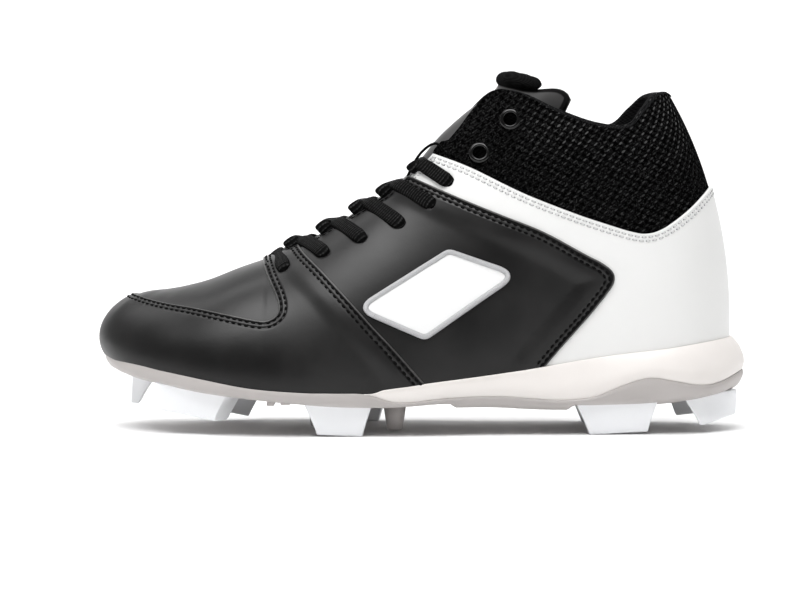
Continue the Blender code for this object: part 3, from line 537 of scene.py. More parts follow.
    def normals(self, u: Array, t: Values) -> Array:
        """Outward normals at some places."""
        du, dt = 0.02, 0.01
        t = np.clip(t, dt, 1 - dt)
        around = self.point(u + du, t) - self.point(u - du, t)
        rising = self.point(u, t + dt) - self.point(u, t - dt)
        return unit(np.cross(around, rising))


# Mesh helpers


def mapped_grid(u: Array, t: Array, place: Placing) -> BMesh:
    """A grid whose points are placed by a function, with their places kept in the layers u and t.

    Args:
        u: Places along the grid's x.
        t: Places along the grid's y.
        place: Gives a point for each pair of places.

    Returns:
        The new bmesh.
    """
    bm = bmesh.new()
    bmesh.ops.create_grid(bm, x_segments=len(u) - 1, y_segments=len(t) - 1, size=1.0)
    flat = np.array([v.co[:2] for v in bm.verts])
    i = np.rint((flat[:, 0] + 1) / 2 * (len(u) - 1)).astype(int)
    j = np.rint((flat[:, 1] + 1) / 2 * (len(t) - 1)).astype(int)
    points = place(u[i], t[j])
    layer_u, layer_t = (bm.verts.layers.float.new(name) for name in ("u", "t"))
    for v, p, a, b in zip(bm.verts, points, u[i], t[j]):
        v.co = p
        v[layer_u] = a
        v[layer_t] = b
    return bm


def grid_of(points: Array) -> BMesh:
    """A grid through an array of points, columns first."""
    columns, rows = (np.arange(n, dtype=float) for n in points.shape[:2])
    return mapped_grid(columns, rows, lambda i, j: points[i.astype(int), j.astype(int)])


def layer_in(group: object, name: str) -> object:
    """A layer of a bmesh, made where it isn't there yet."""
    return group.get(name) or group.new(name)


def lay_out(bm: BMesh, first: Array, second: Array) -> None:
    """Writes a UV map from a pair of numbers a point."""
    bm.verts.index_update()
    uv = bm.loops.layers.uv.new("UVMap")
    for face in bm.faces:
        for loop in face.loops:
            k = loop.vert.index
            loop[uv].uv = (first[k], second[k])


def keep_normals(bm: BMesh) -> None:
    """Stores each point's normal in the layer lift, for raising the sheet off its own shape."""
    bm.normal_update()
    lift = layer_in(bm.verts.layers.float_vector, "lift")
    for v in bm.verts:
        v[lift] = v.normal


def column(bm: BMesh, name: str) -> Array:
    """A float layer of the points as an array."""
    layer = bm.verts.layers.float[name]
    return np.array([v[layer] for v in bm.verts])


def places_of(bm: BMesh) -> Array:
    """The points of a bmesh as an array."""
    return np.array([v.co for v in bm.verts])


def set_column(bm: BMesh, name: str, values: Array) -> None:
    """Writes a float layer of the points."""
    layer = layer_in(bm.verts.layers.float, name)
    for v, value in zip(bm.verts, values):
        v[layer] = float(value)


def trim(bm: BMesh, values: Array) -> None:
    """Keeps a sheet where the points' values are negative, with a clean edge along their zero line."""
    set_column(bm, "cut", values)
    cut = bm.verts.layers.float["cut"]
    outside = [f for f in bm.faces if min(v[cut] for v in f.verts) > 0]
    bmesh.ops.delete(bm, geom=outside, context="FACES")
    snap_to_zero(bm)
    for edge in [e for e in bm.edges if e.verts[0][cut] * e.verts[1][cut] < 0]:
        a, b = edge.verts
        _, made = bmesh.utils.edge_split(edge, a, a[cut] / (a[cut] - b[cut]))
        made[cut] = 0.0
    bmesh.ops.connect_verts(bm, verts=[v for v in bm.verts if v[cut] == 0.0])
    outside = [f for f in bm.faces if max(v[cut] for v in f.verts) > 0]
    bmesh.ops.delete(bm, geom=outside, context="FACES")


def snap_to_zero(bm: BMesh, share: float = 0.3) -> None:
    """Moves points that lie close to the zero line onto it, so that no slivers are left along it."""
    cut = bm.verts.layers.float["cut"]
    others = [bm.verts.layers.float[n] for n in ("u", "t")]
    for v in bm.verts:
        best: Optional[tuple[float, BMVert]] = None
        for edge in v.link_edges:
            other = edge.other_vert(v)
            if v[cut] * other[cut] < 0:
                f = v[cut] / (v[cut] - other[cut])
                if f < share and (best is None or f < best[0]):
                    best = (f, other)
        if best:
            f, other = best
            v.co = v.co.lerp(other.co, f)
            for layer in others:
                v[layer] += (other[layer] - v[layer]) * f
            v[cut] = 0.0


def edge_lines(bm: BMesh, wanted: Callable[[BMVert], bool], corner: float = 50.0) -> list[Array]:
    """Lines of points along a sheet's open edge, split at its corners.

    Args:
        bm: The sheet.
        wanted: Says which points of the edge count.
        corner: Turns sharper than this, in degrees, end a line.

    Returns:
        One array of points a line.
    """
    links: dict[BMVert, list[BMVert]] = {}
    for e in bm.edges:
        if e.is_boundary and wanted(e.verts[0]) and wanted(e.verts[1]):
            for a, b in (tuple(e.verts), tuple(e.verts)[::-1]):
                links.setdefault(a, []).append(b)
    unused = set(links)
    lines: list[Array] = []
    starts = [v for v in links if len(links[v]) != 2] + list(links)
    for start in starts:
        if start not in unused:
            continue
        walk = [start]
        unused.discard(start)
        while True:
            ahead = [v for v in links[walk[-1]] if v in unused]
            if not ahead:
                break
            walk.append(ahead[0])
            unused.discard(ahead[0])
        if len(walk) > 5:
            lines += split_at_corners(np.array([v.co for v in walk]), corner)
    return lines


def split_at_corners(points: Array, corner: float) -> list[Array]:
    """A line cut where it turns sharply, evened out between."""
    line = spaced(points, 1.0)
    reach = 3
    ways = unit(line[reach:] - line[:-reach])
    turn = np.degrees(np.arccos(np.clip(np.sum(ways[:-reach] * ways[reach:], axis=1), -1, 1)))
    cuts = [0]
    for k in np.flatnonzero(turn > corner):
        if k + reach - cuts[-1] > 2 * reach:
            cuts.append(int(k + reach))
    cuts.append(len(line) - 1)
    parts = [line[a : b + 1] for a, b in zip(cuts, cuts[1:]) if b - a > 4]
    return [evened(part) for part in parts]


def evened(line: Array) -> Array:
    """A line with its small jitter taken out, its ends kept."""
    for _ in range(3):
        line = np.vstack([line[:1], (line[:-2] + 2 * line[1:-1] + line[2:]) / 4, line[-1:]])
    return line


def tree_of(points: Array) -> KDTree:
    """A search tree of points."""
    tree = KDTree(len(points))
    for i, p in enumerate(points):
        tree.insert(p, i)
    tree.balance()
    return tree


def distance_to(lines: Sequence[Array], points: Array, furthest: float = 40.0) -> Array:
    """Distance from points to the nearest of some lines."""
    if not lines:
        return np.full(len(points), furthest)
    tree = tree_of(np.vstack([spaced(line, 0.25) for line in lines]))
    return np.array([min(tree.find(p)[2], furthest) for p in points])


def edge_outward(bm: BMesh) -> None:
    """Stores, for the points of the open edge, the way out of the sheet in the layer out."""
    lift = bm.verts.layers.float_vector["lift"]
    out = layer_in(bm.verts.layers.float_vector, "out")
    sums: dict[BMVert, Vector] = {}
    for e in bm.edges:
        if not e.is_boundary:
            continue
        a, b = e.verts
        way = (b.co - a.co).cross(a[lift] + b[lift])
        if way.dot((a.co + b.co) / 2 - e.link_faces[0].calc_center_median()) < 0:
            way = -way
        for v in (a, b):
            sums[v] = sums.get(v, Vector()) + way.normalized()
    for v, way in sums.items():
        v[out] = way.normalized()


def thicken(bm: BMesh, top: Array, thick: Values, roll: float, steps: int = 4) -> None:
    """Gives a sheet its thickness below a height, and rounds its edge outwards.

    Args:
        bm: The sheet, on its own shape.
        top: Height of the upper face over that shape, one a point.
        thick: The sheet's thickness, one for all or one a point.
        roll: How far the rounded edge stands out.
        steps: Cuts round the edge.
    """
    edge_outward(bm)
    set_column(bm, "depth", np.broadcast_to(thick, len(bm.verts)))
    lift = bm.verts.layers.float_vector["lift"]
    out = bm.verts.layers.float_vector["out"]
    depth = bm.verts.layers.float["depth"]
    rim, share = (layer_in(bm.verts.layers.float, name) for name in ("rim", "share"))
    for v, height in zip(bm.verts, top):
        v.co += v[lift] * (height - v[depth])
        v[rim] = float(v.is_boundary)
        v[share] = 0.0
    made = bmesh.ops.extrude_face_region(bm, geom=[*bm.verts, *bm.edges, *bm.faces], use_keep_orig=True)
    for v in (g for g in made["geom"] if isinstance(g, BMVert)):
        v.co += v[lift] * v[depth]
        v[share] = 1.0
    walls = [e for e in bm.edges if e.verts[0][share] != e.verts[1][share]]
    bmesh.ops.subdivide_edges(bm, edges=walls, cuts=steps)
    for v in bm.verts:
        if v[rim] > 0.5:
            turn = v[share] * math.pi / 2
            v.co += v[lift] * v[depth] * (math.sin(turn) - v[share]) + v[out] * roll * math.cos(turn)
    bmesh.ops.recalc_face_normals(bm, faces=bm.faces)


def drop_layers(bm: BMesh, keep: Sequence[str] = ()) -> None:
    """Removes the building layers of a bmesh, apart from those that a finish reads."""
    for group in (bm.verts.layers.float, bm.verts.layers.float_vector):
        for name in [n for n in group.keys() if n not in keep]:
            group.remove(group[name])


def swept(path: Array, across: Array, ring: Array) -> BMesh:
    """A closed skin round a path, with its length and turn kept in a UV map.

    Args:
        path: Points along the middle.
        across: The section's first direction at each point.
        ring: The section, one for all or one a path point, first and last points alike.

    Returns:
        The new bmesh.
    """
    ring = np.broadcast_to(ring, (len(path), *ring.shape[-2:]))
    ahead = unit(np.gradient(path, axis=0))
    first = unit(across - ahead * np.sum(across * ahead, axis=1)[:, None])
    second = np.cross(ahead, first)
    bm = grid_of(path[:, None] + first[:, None] * ring[:, :, :1] + second[:, None] * ring[:, :, 1:])
    along = run_of(path)[np.rint(column(bm, "u")).astype(int)]
    lay_out(bm, along * MM, column(bm, "t") / (ring.shape[1] - 1))
    bmesh.ops.remove_doubles(bm, verts=bm.verts, dist=FINE_WELD)
    bmesh.ops.holes_fill(bm, edges=[e for e in bm.edges if e.is_boundary], sides=0)
    bmesh.ops.recalc_face_normals(bm, faces=bm.faces)
    drop_layers(bm)
    return bm


def ellipse(half_width: float, half_height: float, sides: int) -> Array:
    """A section for sweeping, first and last points alike."""
    turns = np.linspace(0, 2 * math.pi, sides + 1)
    return np.column_stack([np.cos(turns) * half_width, np.sin(turns) * half_height])


def skin_of(loops: Sequence[Array], filled: bool = False) -> BMesh:
    """A closed skin through loops of points, with its open edges filled if asked."""
    bm = grid_of(np.stack(loops, axis=1))
    bmesh.ops.remove_doubles(bm, verts=bm.verts, dist=WELD)
    if filled:
        bmesh.ops.holes_fill(bm, edges=[e for e in bm.edges if e.is_boundary], sides=0)
    bmesh.ops.recalc_face_normals(bm, faces=bm.faces)
    drop_layers(bm)
    return bm


def round_edges(bm: BMesh, edges: Sequence[BMEdge], size: float, cuts: int, clamp: bool = False) -> None:
    """Rounds some edges of a bmesh."""
    bmesh.ops.bevel(
        bm, geom=edges, offset=size, segments=cuts, profile=0.5, affect="EDGES", clamp_overlap=clamp,
        material=-1,
    )


def mesh_of(bm: BMesh, name: str) -> bpy.types.Mesh:
    """A smooth mesh from a bmesh, which is used up."""
    mesh = bpy.data.meshes.new(name)
    bm.to_mesh(mesh)
    bm.free()
    mesh.shade_smooth()
    return mesh


def placed(name: str, data: bpy.types.ID) -> bpy.types.Object:
    """A new object in the scene."""
    made = bpy.data.objects.new(name, data)
    bpy.context.scene.collection.objects.link(made)
    return made


def make_piece(bm: BMesh, name: str, finish: "Finish", nodes: Sequence[str] = ()) -> bpy.types.Object:
    """Turns a bmesh in millimetres into a piece that rides on the shoe.

    Args:
        bm: The shape, which is used up.
        name: The piece's name.
        finish: Its finish.
        nodes: The solids that it stands for.

    Returns:
        The new object.
    """
    bmesh.ops.translate(bm, verts=bm.verts, vec=-MIDDLE)
    bmesh.ops.scale(bm, vec=(MM, MM, MM), verts=bm.verts)
    mesh = mesh_of(bm, name)
    piece = placed(name, mesh)
    mesh.materials.append(finish.material())
    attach(piece, "root")
    if nodes:
        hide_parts(*nodes)
    LOG.info("%s: %d faces", name, len(mesh.polygons))
    return piece


# Finishes


class Sketch:
    """One material's nodes, with short ways to add to them."""

    def __init__(self, name: str, colour: Colour, roughness: float) -> None:
        """Starts a Principled material of one colour and roughness."""
        self.material = bpy.data.materials.new(name)
        self.material.use_nodes = True
        self.nodes = self.material.node_tree.nodes
        self.links = self.material.node_tree.links
        self.shader = self.nodes["Principled BSDF"]
        self.set("Base Color", (*colour, 1.0))
        self.set("Roughness", roughness)
        self.coords = self.nodes.new("ShaderNodeTexCoord")

    def set(self, socket: str, value: object) -> None:
        """Gives one of the shader's sockets a value or a wire."""
        self.feed(self.shader.inputs[socket], value)

    def feed(self, socket: Socket, value: object) -> None:
        """Wires a socket, or sets its own value."""
        if isinstance(value, Socket):
            self.links.new(value, socket)
        else:
            socket.default_value = value

    def math(self, operation: str, first: Feed, second: Feed = 0.0) -> Socket:
        """One Math node's result."""
        node = self.nodes.new("ShaderNodeMath")
        node.operation = operation
        self.feed(node.inputs[0], first)
        self.feed(node.inputs[1], second)
        return node.outputs[0]

    def total(self, *parts: Feed) -> Feed:
        """The sum of some values."""
        made = parts[0]
        for part in parts[1:]:
            made = self.math("ADD", made, part)
        return made

    def times(self, first: Feed, second: Feed) -> Socket:
        """One value times another."""
        return self.math("MULTIPLY", first, second)

    def centred(self, value: Feed) -> Socket:
        """A value from 0 to 1, moved to lie round zero."""
        return self.math("SUBTRACT", value, 0.5)

    def wave(self, value: Feed, length: float) -> Socket:
        """A sine wave of some length along a value."""
        return self.math("SINE", self.times(value, 2 * math.pi / length))

    def ramp(
        self, value: Feed, low: float, high: float, out_low: float = 0.0, out_high: float = 1.0
    ) -> Socket:
        """A value carried smoothly from one range to another."""
        node = self.nodes.new("ShaderNodeMapRange")
        node.interpolation_type = "SMOOTHSTEP"
        for socket, given in zip(node.inputs, (value, low, high, out_low, out_high)):
            self.feed(socket, given)
        return node.outputs["Result"]

    def noise(self, scale: float, detail: float = 3.0) -> Socket:
        """Smooth noise from 0 to 1."""
        node = self.nodes.new("ShaderNodeTexNoise")
        self.feed(node.inputs["Vector"], self.coords.outputs["Object"])
        node.inputs["Scale"].default_value = scale
        node.inputs["Detail"].default_value = detail
        return node.outputs["Fac"]

    def cells(self, scale: float) -> Socket:
        """Smooth distance in a field of irregular cells."""
        node = self.nodes.new("ShaderNodeTexVoronoi")
        node.feature = "SMOOTH_F1"
        self.feed(node.inputs["Vector"], self.coords.outputs["Object"])
        node.inputs["Scale"].default_value = scale
        return node.outputs["Distance"]

    def hashed(self, first: Feed, second: Feed) -> Socket:
        """A chance value that belongs to a pair of numbers."""
        pair = self.nodes.new("ShaderNodeCombineXYZ")
        self.feed(pair.inputs[0], first)
        self.feed(pair.inputs[1], second)
        node = self.nodes.new("ShaderNodeTexWhiteNoise")
        self.links.new(pair.outputs[0], node.inputs["Vector"])
        return node.outputs["Value"]

    def attribute(self, name: str) -> Socket:
        """A number that the mesh carries."""
        node = self.nodes.new("ShaderNodeAttribute")
        node.attribute_name = name
        return node.outputs["Fac"]

    def uv(self) -> tuple[Socket, Socket]:
        """The two coordinates of the piece's UV map."""
        split = self.nodes.new("ShaderNodeSeparateXYZ")
        self.links.new(self.coords.outputs["UV"], split.inputs[0])
        return split.outputs["X"], split.outputs["Y"]

    def mixed(self, share: Feed, first: Colour, second: Colour) -> Socket:
        """A blend of two colours."""
        node = self.nodes.new("ShaderNodeMix")
        node.data_type = "RGBA"
        self.feed(node.inputs["Factor"], share)
        a, b = (s for s in node.inputs if s.type == "RGBA")
        a.default_value = (*first, 1.0)
        b.default_value = (*second, 1.0)
        return next(s for s in node.outputs if s.type == "RGBA")

    def blend(self, share: Feed, first: Socket, second: Colour) -> Socket:
        """A wired colour blended towards a plain one."""
        made = self.mixed(share, second, second)
        first_socket = next(k for k in made.node.inputs if k.type == "RGBA")
        self.feed(first_socket, first)
        return made

    def relief(self, height: Feed) -> None:
        """Bumps the surface by heights in metres."""
        node = self.nodes.new("ShaderNodeBump")
        node.inputs["Strength"].default_value = 1.0
        node.inputs["Distance"].default_value = 1.0
        self.feed(node.inputs["Height"], height)
        self.set("Normal", node.outputs["Normal"])


@dataclass(frozen=True)
class Finish:
    """A finish: its name, the record's slot it belongs to, its colour and its roughness."""

    name: str
    slot: str
    colour: Colour
    roughness: float

    def material(self) -> bpy.types.Material:
        """The finish's material, made once."""
        found = bpy.data.materials.get(self.name)
        if found is None:
            made = Sketch(self.name, self.colour, self.roughness)
            self.sketch(made)
            found = made.material
        return found

    def sketch(self, s: Sketch) -> None:
        """Adds the finish's own nodes."""


@dataclass(frozen=True)
class Leather(Finish):
    """Coated leather: fine grain, a soft sheen, the pull of two stitch rows along its edge, and painted
    light along that edge.
    """

    grain_mm: float = 0.8
    grain_depth_mm: float = 0.012
    rows_mm: Pair = (1.3, 2.95)
    band_mm: Pair = (1.0, 1.6)
    pull_mm: float = 0.26
    matt: float = 0.75
    band_colour: Colour = grey(0.004)
    # Painted light: the colour below is a painted highlight on a black cut edge and on the ridge between the
    # stitch rows, a painted shade on a white cut edge, and the tone of random patches. The next fields set
    # how much of it the cut edge and the ridge take, and their widths.
    light_shade_and_tone_colour: Colour = (0.09, 0.088, 0.086)
    cut_edge_light_and_shade: float = 0.8
    cut_mm: Pair = (0.2, 0.5)
    ridge: float = 0.1
    ridge_highlight_mm: float = 0.45
    trough_mm: float = 0.55
    cut_edge_light_mm: float = 0.4
    patch_scale: float = 38.0
    wrinkle_scale: float = 260.0
    wrinkle_mm: float = 0.03
    specular: float = 0.3

    def sketch(self, s: Sketch) -> None:
        """Grain, patches of gloss and tone, a cut edge with painted light, a matt band, and stitch troughs
        with a painted highlight on the ridge between.
        """
        grain = s.cells(1.0 / (self.grain_mm * MM))
        patch = s.noise(self.patch_scale, 4.0)
        edge = s.attribute("edge_distance")
        # Painted highlight and shade: the cut edge is pulled towards the light-and-shade colour, lighter on
        # black leather and darker on white.
        cut = s.ramp(edge, 0.0, self.cut_edge_light_mm, self.cut_edge_light_and_shade, 0.0)
        band = s.times(s.ramp(edge, *self.cut_mm), s.ramp(edge, *self.band_mm, self.matt, 0.0))
        worn = s.mixed(s.ramp(patch, 0.3, 0.8, 0.0, 0.08), self.colour, self.light_shade_and_tone_colour)
        # Painted highlight: the ridge between the two stitch rows is pulled towards the lighter colour.
        between = self._trough(s, edge, sum(self.rows_mm) / 2, self.ridge_highlight_mm)
        ridge_highlighted = s.blend(s.times(between, self.ridge), worn, self.light_shade_and_tone_colour)
        s.set("Base Color", s.blend(cut, s.blend(band, ridge_highlighted, self.band_colour), self.light_shade_and_tone_colour))
        s.set("Roughness", s.ramp(patch, 0.25, 0.75, self.roughness - 0.05, self.roughness + 0.06))
        s.set("Specular IOR Level", s.times(s.math("SUBTRACT", 1.0, band), self.specular))
        pulls = [self._trough(s, edge, at, self.trough_mm) for at in self.rows_mm]
        height = s.total(
            s.times(grain, self.grain_depth_mm * MM),
            s.times(s.noise(self.wrinkle_scale, 2.0), self.wrinkle_mm * MM),
            *(s.times(p, -self.pull_mm * MM) for p in pulls),
        )
        s.relief(height)

    @staticmethod
    def _trough(s: Sketch, distance: Feed, at: float, width: float) -> Socket:
        """One where the distance is at a stitch row, falling to zero beside it."""
        off = s.math("DIVIDE", s.math("SUBTRACT", distance, at), width)
        return s.math("POWER", math.e, s.times(s.times(off, off), -1.0))


@dataclass(frozen=True)
class Knit(Finish):
    """Open mesh cloth: dark holes, fine threads, and slanting columns of loops whose glints are painted,
    brightest round the heel's sides.
    """

    pitch_mm: float = 3.46
    row_mm: float = 2.14
    slant: float = 0.7
    stagger: float = 0.4
    bar: Pair = (0.17, 0.31)
    glint_front_fade_mm: Pair = (70.0, 100.0)
    shaded_low_mm: Pair = (14.0, 46.0)
    thread: Colour = (0.0066, 0.0066, 0.0067)
    shaded_back_mm: Pair = (7.0, 24.0)
    glint: Colour = grey(0.078)
    sway_mm: float = 1.0
    fray: float = 2.0
    loop_mm: float = 0.25
    fuzz_mm: float = 0.14

    def sketch(self, s: Sketch) -> None:
        """Threads, and painted glints on fine spots and on one bar for each loop, from the cloth's own
        coordinates.
        """
        x, y = s.uv()
        away = s.math("ABSOLUTE", x)
        stray, fine = s.noise(900.0, 2.0), s.noise(1500.0, 1.0)
        sway = s.times(s.centred(s.noise(150.0, 2.0)), self.sway_mm * MM)
        slanted = s.total(s.math("SUBTRACT", s.times(y, self.slant), away), sway)
        column = s.math("DIVIDE", slanted, self.pitch_mm * MM)
        place = s.math("FLOOR", column)
        row = s.total(s.math("DIVIDE", y, self.row_mm * MM), s.times(place, self.stagger))
        chance = s.hashed(place, s.math("FLOOR", row))
        across = s.math("DIVIDE", s.centred(s.math("FRACT", column)), self.bar[0])
        down = s.math("DIVIDE", s.centred(s.math("FRACT", row)), self.bar[1])
        off = s.total(s.times(across, across), s.times(down, down))
        loop = s.ramp(s.total(off, s.times(s.centred(stray), self.fray)), 1.4, 0.1)
        # Painted light: the loops' glints fade towards the front and, as painted shade, at the heel's middle
        # and lower down.
        heel = s.ramp(away, self.glint_front_fade_mm[0] * MM, self.glint_front_fade_mm[1] * MM, 1.0, 0.16)
        heel = s.times(heel, s.ramp(away, self.shaded_back_mm[0] * MM, self.shaded_back_mm[1] * MM, 0.12, 1.0))
        upper = s.ramp(y, self.shaded_low_mm[0] * MM, self.shaded_low_mm[1] * MM, 1.0, 0.3)
        lit = s.times(s.ramp(chance, 0.0, 1.0, 0.35, 1.0), s.times(heel, upper))
        speck_glints = s.times(s.ramp(fine, 0.56, 0.74), 0.22)
        glint_and_gloss = s.math("MAXIMUM", s.times(loop, lit), speck_glints)
        pores = s.times(s.wave(column, 0.5), s.wave(row, 1.0))
        threads = s.ramp(s.total(s.times(pores, 0.2), stray), 0.4, 0.72)
        # Painted shade: the threads are darker lower down.
        threads = s.times(threads, s.ramp(upper, 0.3, 1.0, 0.7, 1.0))
        # The holes are painted near black, for the dark backing and the shade seen through them; the glint
        # colour is a painted highlight.
        s.set("Base Color", s.blend(glint_and_gloss, s.mixed(threads, self.colour, self.thread), self.glint))
        s.set("Roughness", s.ramp(glint_and_gloss, 0.0, 1.0, self.roughness, 0.45))
        s.set("Specular IOR Level", s.times(glint_and_gloss, 0.25))
        s.relief(s.total(s.times(loop, self.loop_mm * MM), s.times(stray, self.fuzz_mm * MM)))


@dataclass(frozen=True)
class Braid(Finish):
    """Woven lace: fine ribs across it, a soft chevron along it, and a painted highlight on the ribs."""

    rib_mm: float = 1.3
    light: Colour = grey(0.034)
    strands: int = 14
    depth_mm: float = 0.12

    def sketch(self, s: Sketch) -> None:
        """Ribs from the lace's length and turn, with their highlight painted on the flat faces and painted
        shade at the lace's edges.
        """
        along, turn = s.uv()
        lean = s.math("ABSOLUTE", s.wave(turn, 1.0))
        place = s.total(along, s.times(lean, 0.5 * self.rib_mm * MM))
        ribs = s.wave(place, self.rib_mm * MM)
        strands = s.wave(turn, 1 / self.strands)
        cloth = s.times(s.total(ribs, s.times(strands, 0.2)), 0.8)
        # Painted highlight: the light colour goes on the rib crests of the flat faces, fading to painted
        # shade at the lace's edges and at random.
        rib_highlight = s.times(s.ramp(cloth, 0.2, 1.0), s.ramp(lean, 0.25, 0.8))
        rib_highlight = s.times(rib_highlight, s.ramp(s.noise(1300.0, 1.0), 0.3, 0.65, 0.25, 1.0))
        s.set("Base Color", s.mixed(rib_highlight, self.colour, self.light))
        s.set("Specular IOR Level", 0.06)
        s.relief(s.times(cloth, self.depth_mm * MM))


@dataclass(frozen=True)
class Cloth(Finish):
    """Plain woven or brushed cloth, for linings."""

    thread_mm: float = 0.55
    light: Colour = (0.06, 0.06, 0.062)
    woven: float = 0.0
    weave_mm: float = 0.05
    fuzz_mm: float = 0.12

    def sketch(self, s: Sketch) -> None:
        """A fine crossed weave with a little fuzz."""
        split = s.nodes.new("ShaderNodeSeparateXYZ")
        s.links.new(s.coords.outputs["Object"], split.inputs[0])
        waves = [
            s.wave(axis, self.thread_mm * MM)
            for axis in (s.total(split.outputs["X"], split.outputs["Y"]), split.outputs["Z"])
        ]
        weave = s.times(*waves)
        fuzz = s.noise(700.0, 3.0)
        shown = s.total(s.times(fuzz, 0.6), s.times(weave, self.woven))
        s.set("Base Color", s.mixed(s.math("MAXIMUM", shown, 0.0), self.colour, self.light))
        s.set("Specular IOR Level", 0.03)
        s.relief(s.total(s.times(weave, self.weave_mm * MM), s.times(fuzz, self.fuzz_mm * MM)))


@dataclass(frozen=True)
class Moulded(Finish):
    """Moulded foam, rubber or plastic: slight mottling and a fine skin."""

    skin_mm: float = 0.02
    skin_scale: float = 1400.0
    shade: float = 0.06
    coat: float = 0.0
    specular: float = 0.5

    def sketch(self, s: Sketch) -> None:
        """Mottled colour and gloss, and a fine skin."""
        mottle = s.noise(55.0, 4.0)
        darker = tuple(c * (1 - self.shade) for c in self.colour)
        s.set("Base Color", s.mixed(s.ramp(mottle, 0.35, 0.75), self.colour, darker))
        s.set("Roughness", s.ramp(mottle, 0.3, 0.7, self.roughness - 0.04, self.roughness + 0.05))
        s.set("Specular IOR Level", self.specular)
        s.set("Coat Weight", self.coat)
        s.set("Coat Roughness", 0.25)
        s.relief(s.times(s.noise(self.skin_scale, 2.0), self.skin_mm * MM))


@dataclass(frozen=True)
class Thread(Finish):
    """Sewing thread, with painted shade where a stitch dips into its holes."""

    hole_shade_colour: Colour = grey(0.004)
    twist_mm: float = 0.08

    def sketch(self, s: Sketch) -> None:
        """Twisted strands, and painted shade at the ends."""
        # Painted shade: the thread darkens towards its ends, where it dips into the holes.
        ends = s.ramp(s.attribute("stitch_end"), 0.35, 0.95)
        s.set("Base Color", s.mixed(ends, self.colour, self.hole_shade_colour))
        s.set("Specular IOR Level", 0.06)
        s.relief(s.times(s.noise(2500.0, 1.0), self.twist_mm * MM))


@dataclass(frozen=True)
class Satin(Finish):
    """Satin stitching: close threads side by side across a band."""

    thread_mm: float = 0.42
    deep: Colour = (0.30, 0.30, 0.31)
    waver_mm: float = 0.25
    depth_mm: float = 0.07

    def sketch(self, s: Sketch) -> None:
        """Threads from the band's length, with painted shade in the grooves between them."""
        along, _ = s.uv()
        waver = s.times(s.noise(500.0, 2.0), self.waver_mm * MM)
        threads = s.wave(s.total(along, waver), self.thread_mm * MM)
        # Painted shade: the grooves between the threads take the darker colour.
        s.set("Base Color", s.mixed(s.ramp(threads, -1.0, 0.4), self.deep, self.colour))
        s.set("Sheen Weight", 0.3)
        s.set("Sheen Roughness", 0.3)
        s.relief(s.times(threads, self.depth_mm * MM))


BLACK_LEATHER = Leather("black_panel_leather", "black_leather", (0.0043, 0.0041, 0.0042), 0.36)
TOE_LEATHER = replace(BLACK_LEATHER, name="black_toe_leather", rows_mm=(1.1, 3.0), band_mm=(0.9, 1.5))
# Painted light: the tongue's black leather is several times lighter than the panels', painted for the light
# on its upward face. Its dark edge band is a binding.
LIT_TONGUE_LEATHER = Leather(
    "lit_black_tongue_leather", "black_leather", (0.033, 0.032, 0.032), 0.42, rows_mm=(60.0, 60.0), ridge=0.0,
    cut_mm=(-1.0, -0.5), band_mm=(0.9, 1.7), matt=0.92, cut_edge_light_and_shade=0.0, specular=0.4,
)
WHITE_LEATHER = Leather(
    "white_panel_leather", "white_leather", (0.75, 0.75, 0.742), 0.42, rows_mm=(1.1, 2.7), ridge=0.0,
    light_shade_and_tone_colour=(0.62, 0.62, 0.615), cut_edge_light_and_shade=0.25, pull_mm=0.16, band_colour=(0.70, 0.70, 0.69), matt=0.3,
    specular=0.4,
)
PATCH_WHITE = Leather(
    "white_patch_leather", "white_leather", grey(0.80), 0.45, light_shade_and_tone_colour=grey(0.7), cut_edge_light_and_shade=0.0,
    rows_mm=(60.0, 60.0), ridge=0.0, grain_depth_mm=0.02, matt=0.0, specular=0.3,
)
BLACK_KNIT = Knit("black_mesh_cloth", "black_mesh", grey(0.0003), 0.85)
BLACK_BRAID = Braid("black_lace_braid", "black_lace", grey(0.0006), 0.75)
ROLL_CLOTH = Cloth(
    "black_roll_cloth", "black_lace", grey(0.0022), 0.9,
    light=grey(0.014), thread_mm=0.9, woven=0.35,
)
LINING_CLOTH = Cloth(
    "dark_lining_cloth", "black_mesh", (0.004, 0.004, 0.0041), 0.9,
    light=(0.022, 0.022, 0.023), thread_mm=1.3, woven=0.35,
)
INSOLE_CLOTH = Cloth(
    "grey_insole_cloth", "grey_insole", (0.045, 0.045, 0.05), 0.9, light=(0.09, 0.09, 0.095),
)
CREAM_FOAM = Moulded("cream_midsole_foam", "cream_foam", (0.74, 0.705, 0.68), 0.5, shade=0.03)
GREY_RUBBER = Moulded("grey_outsole_rubber", "grey_rubber", (0.425, 0.398, 0.387), 0.5, shade=0.07)
WHITE_STUD = Moulded("white_stud_plastic", "white_stud", (0.86, 0.87, 0.89), 0.36, shade=0.02, coat=0.1)
BLACK_ENAMEL = Moulded(
    "black_eyelet_enamel", "black_metal", grey(0.0015), 0.1, skin_mm=0.002, specular=0.36,
)
BLACK_THREAD = Thread(
    "black_thread", "black_leather", grey(0.0035), 0.85, hole_shade_colour=grey(0.001),
)
WHITE_THREAD = Thread(
    "white_thread", "white_leather", grey(0.58), 0.6, hole_shade_colour=grey(0.10),
)
GREY_SATIN = Satin("silver_satin_thread", "white_leather", (0.62, 0.62, 0.63), 0.4)


# Upper


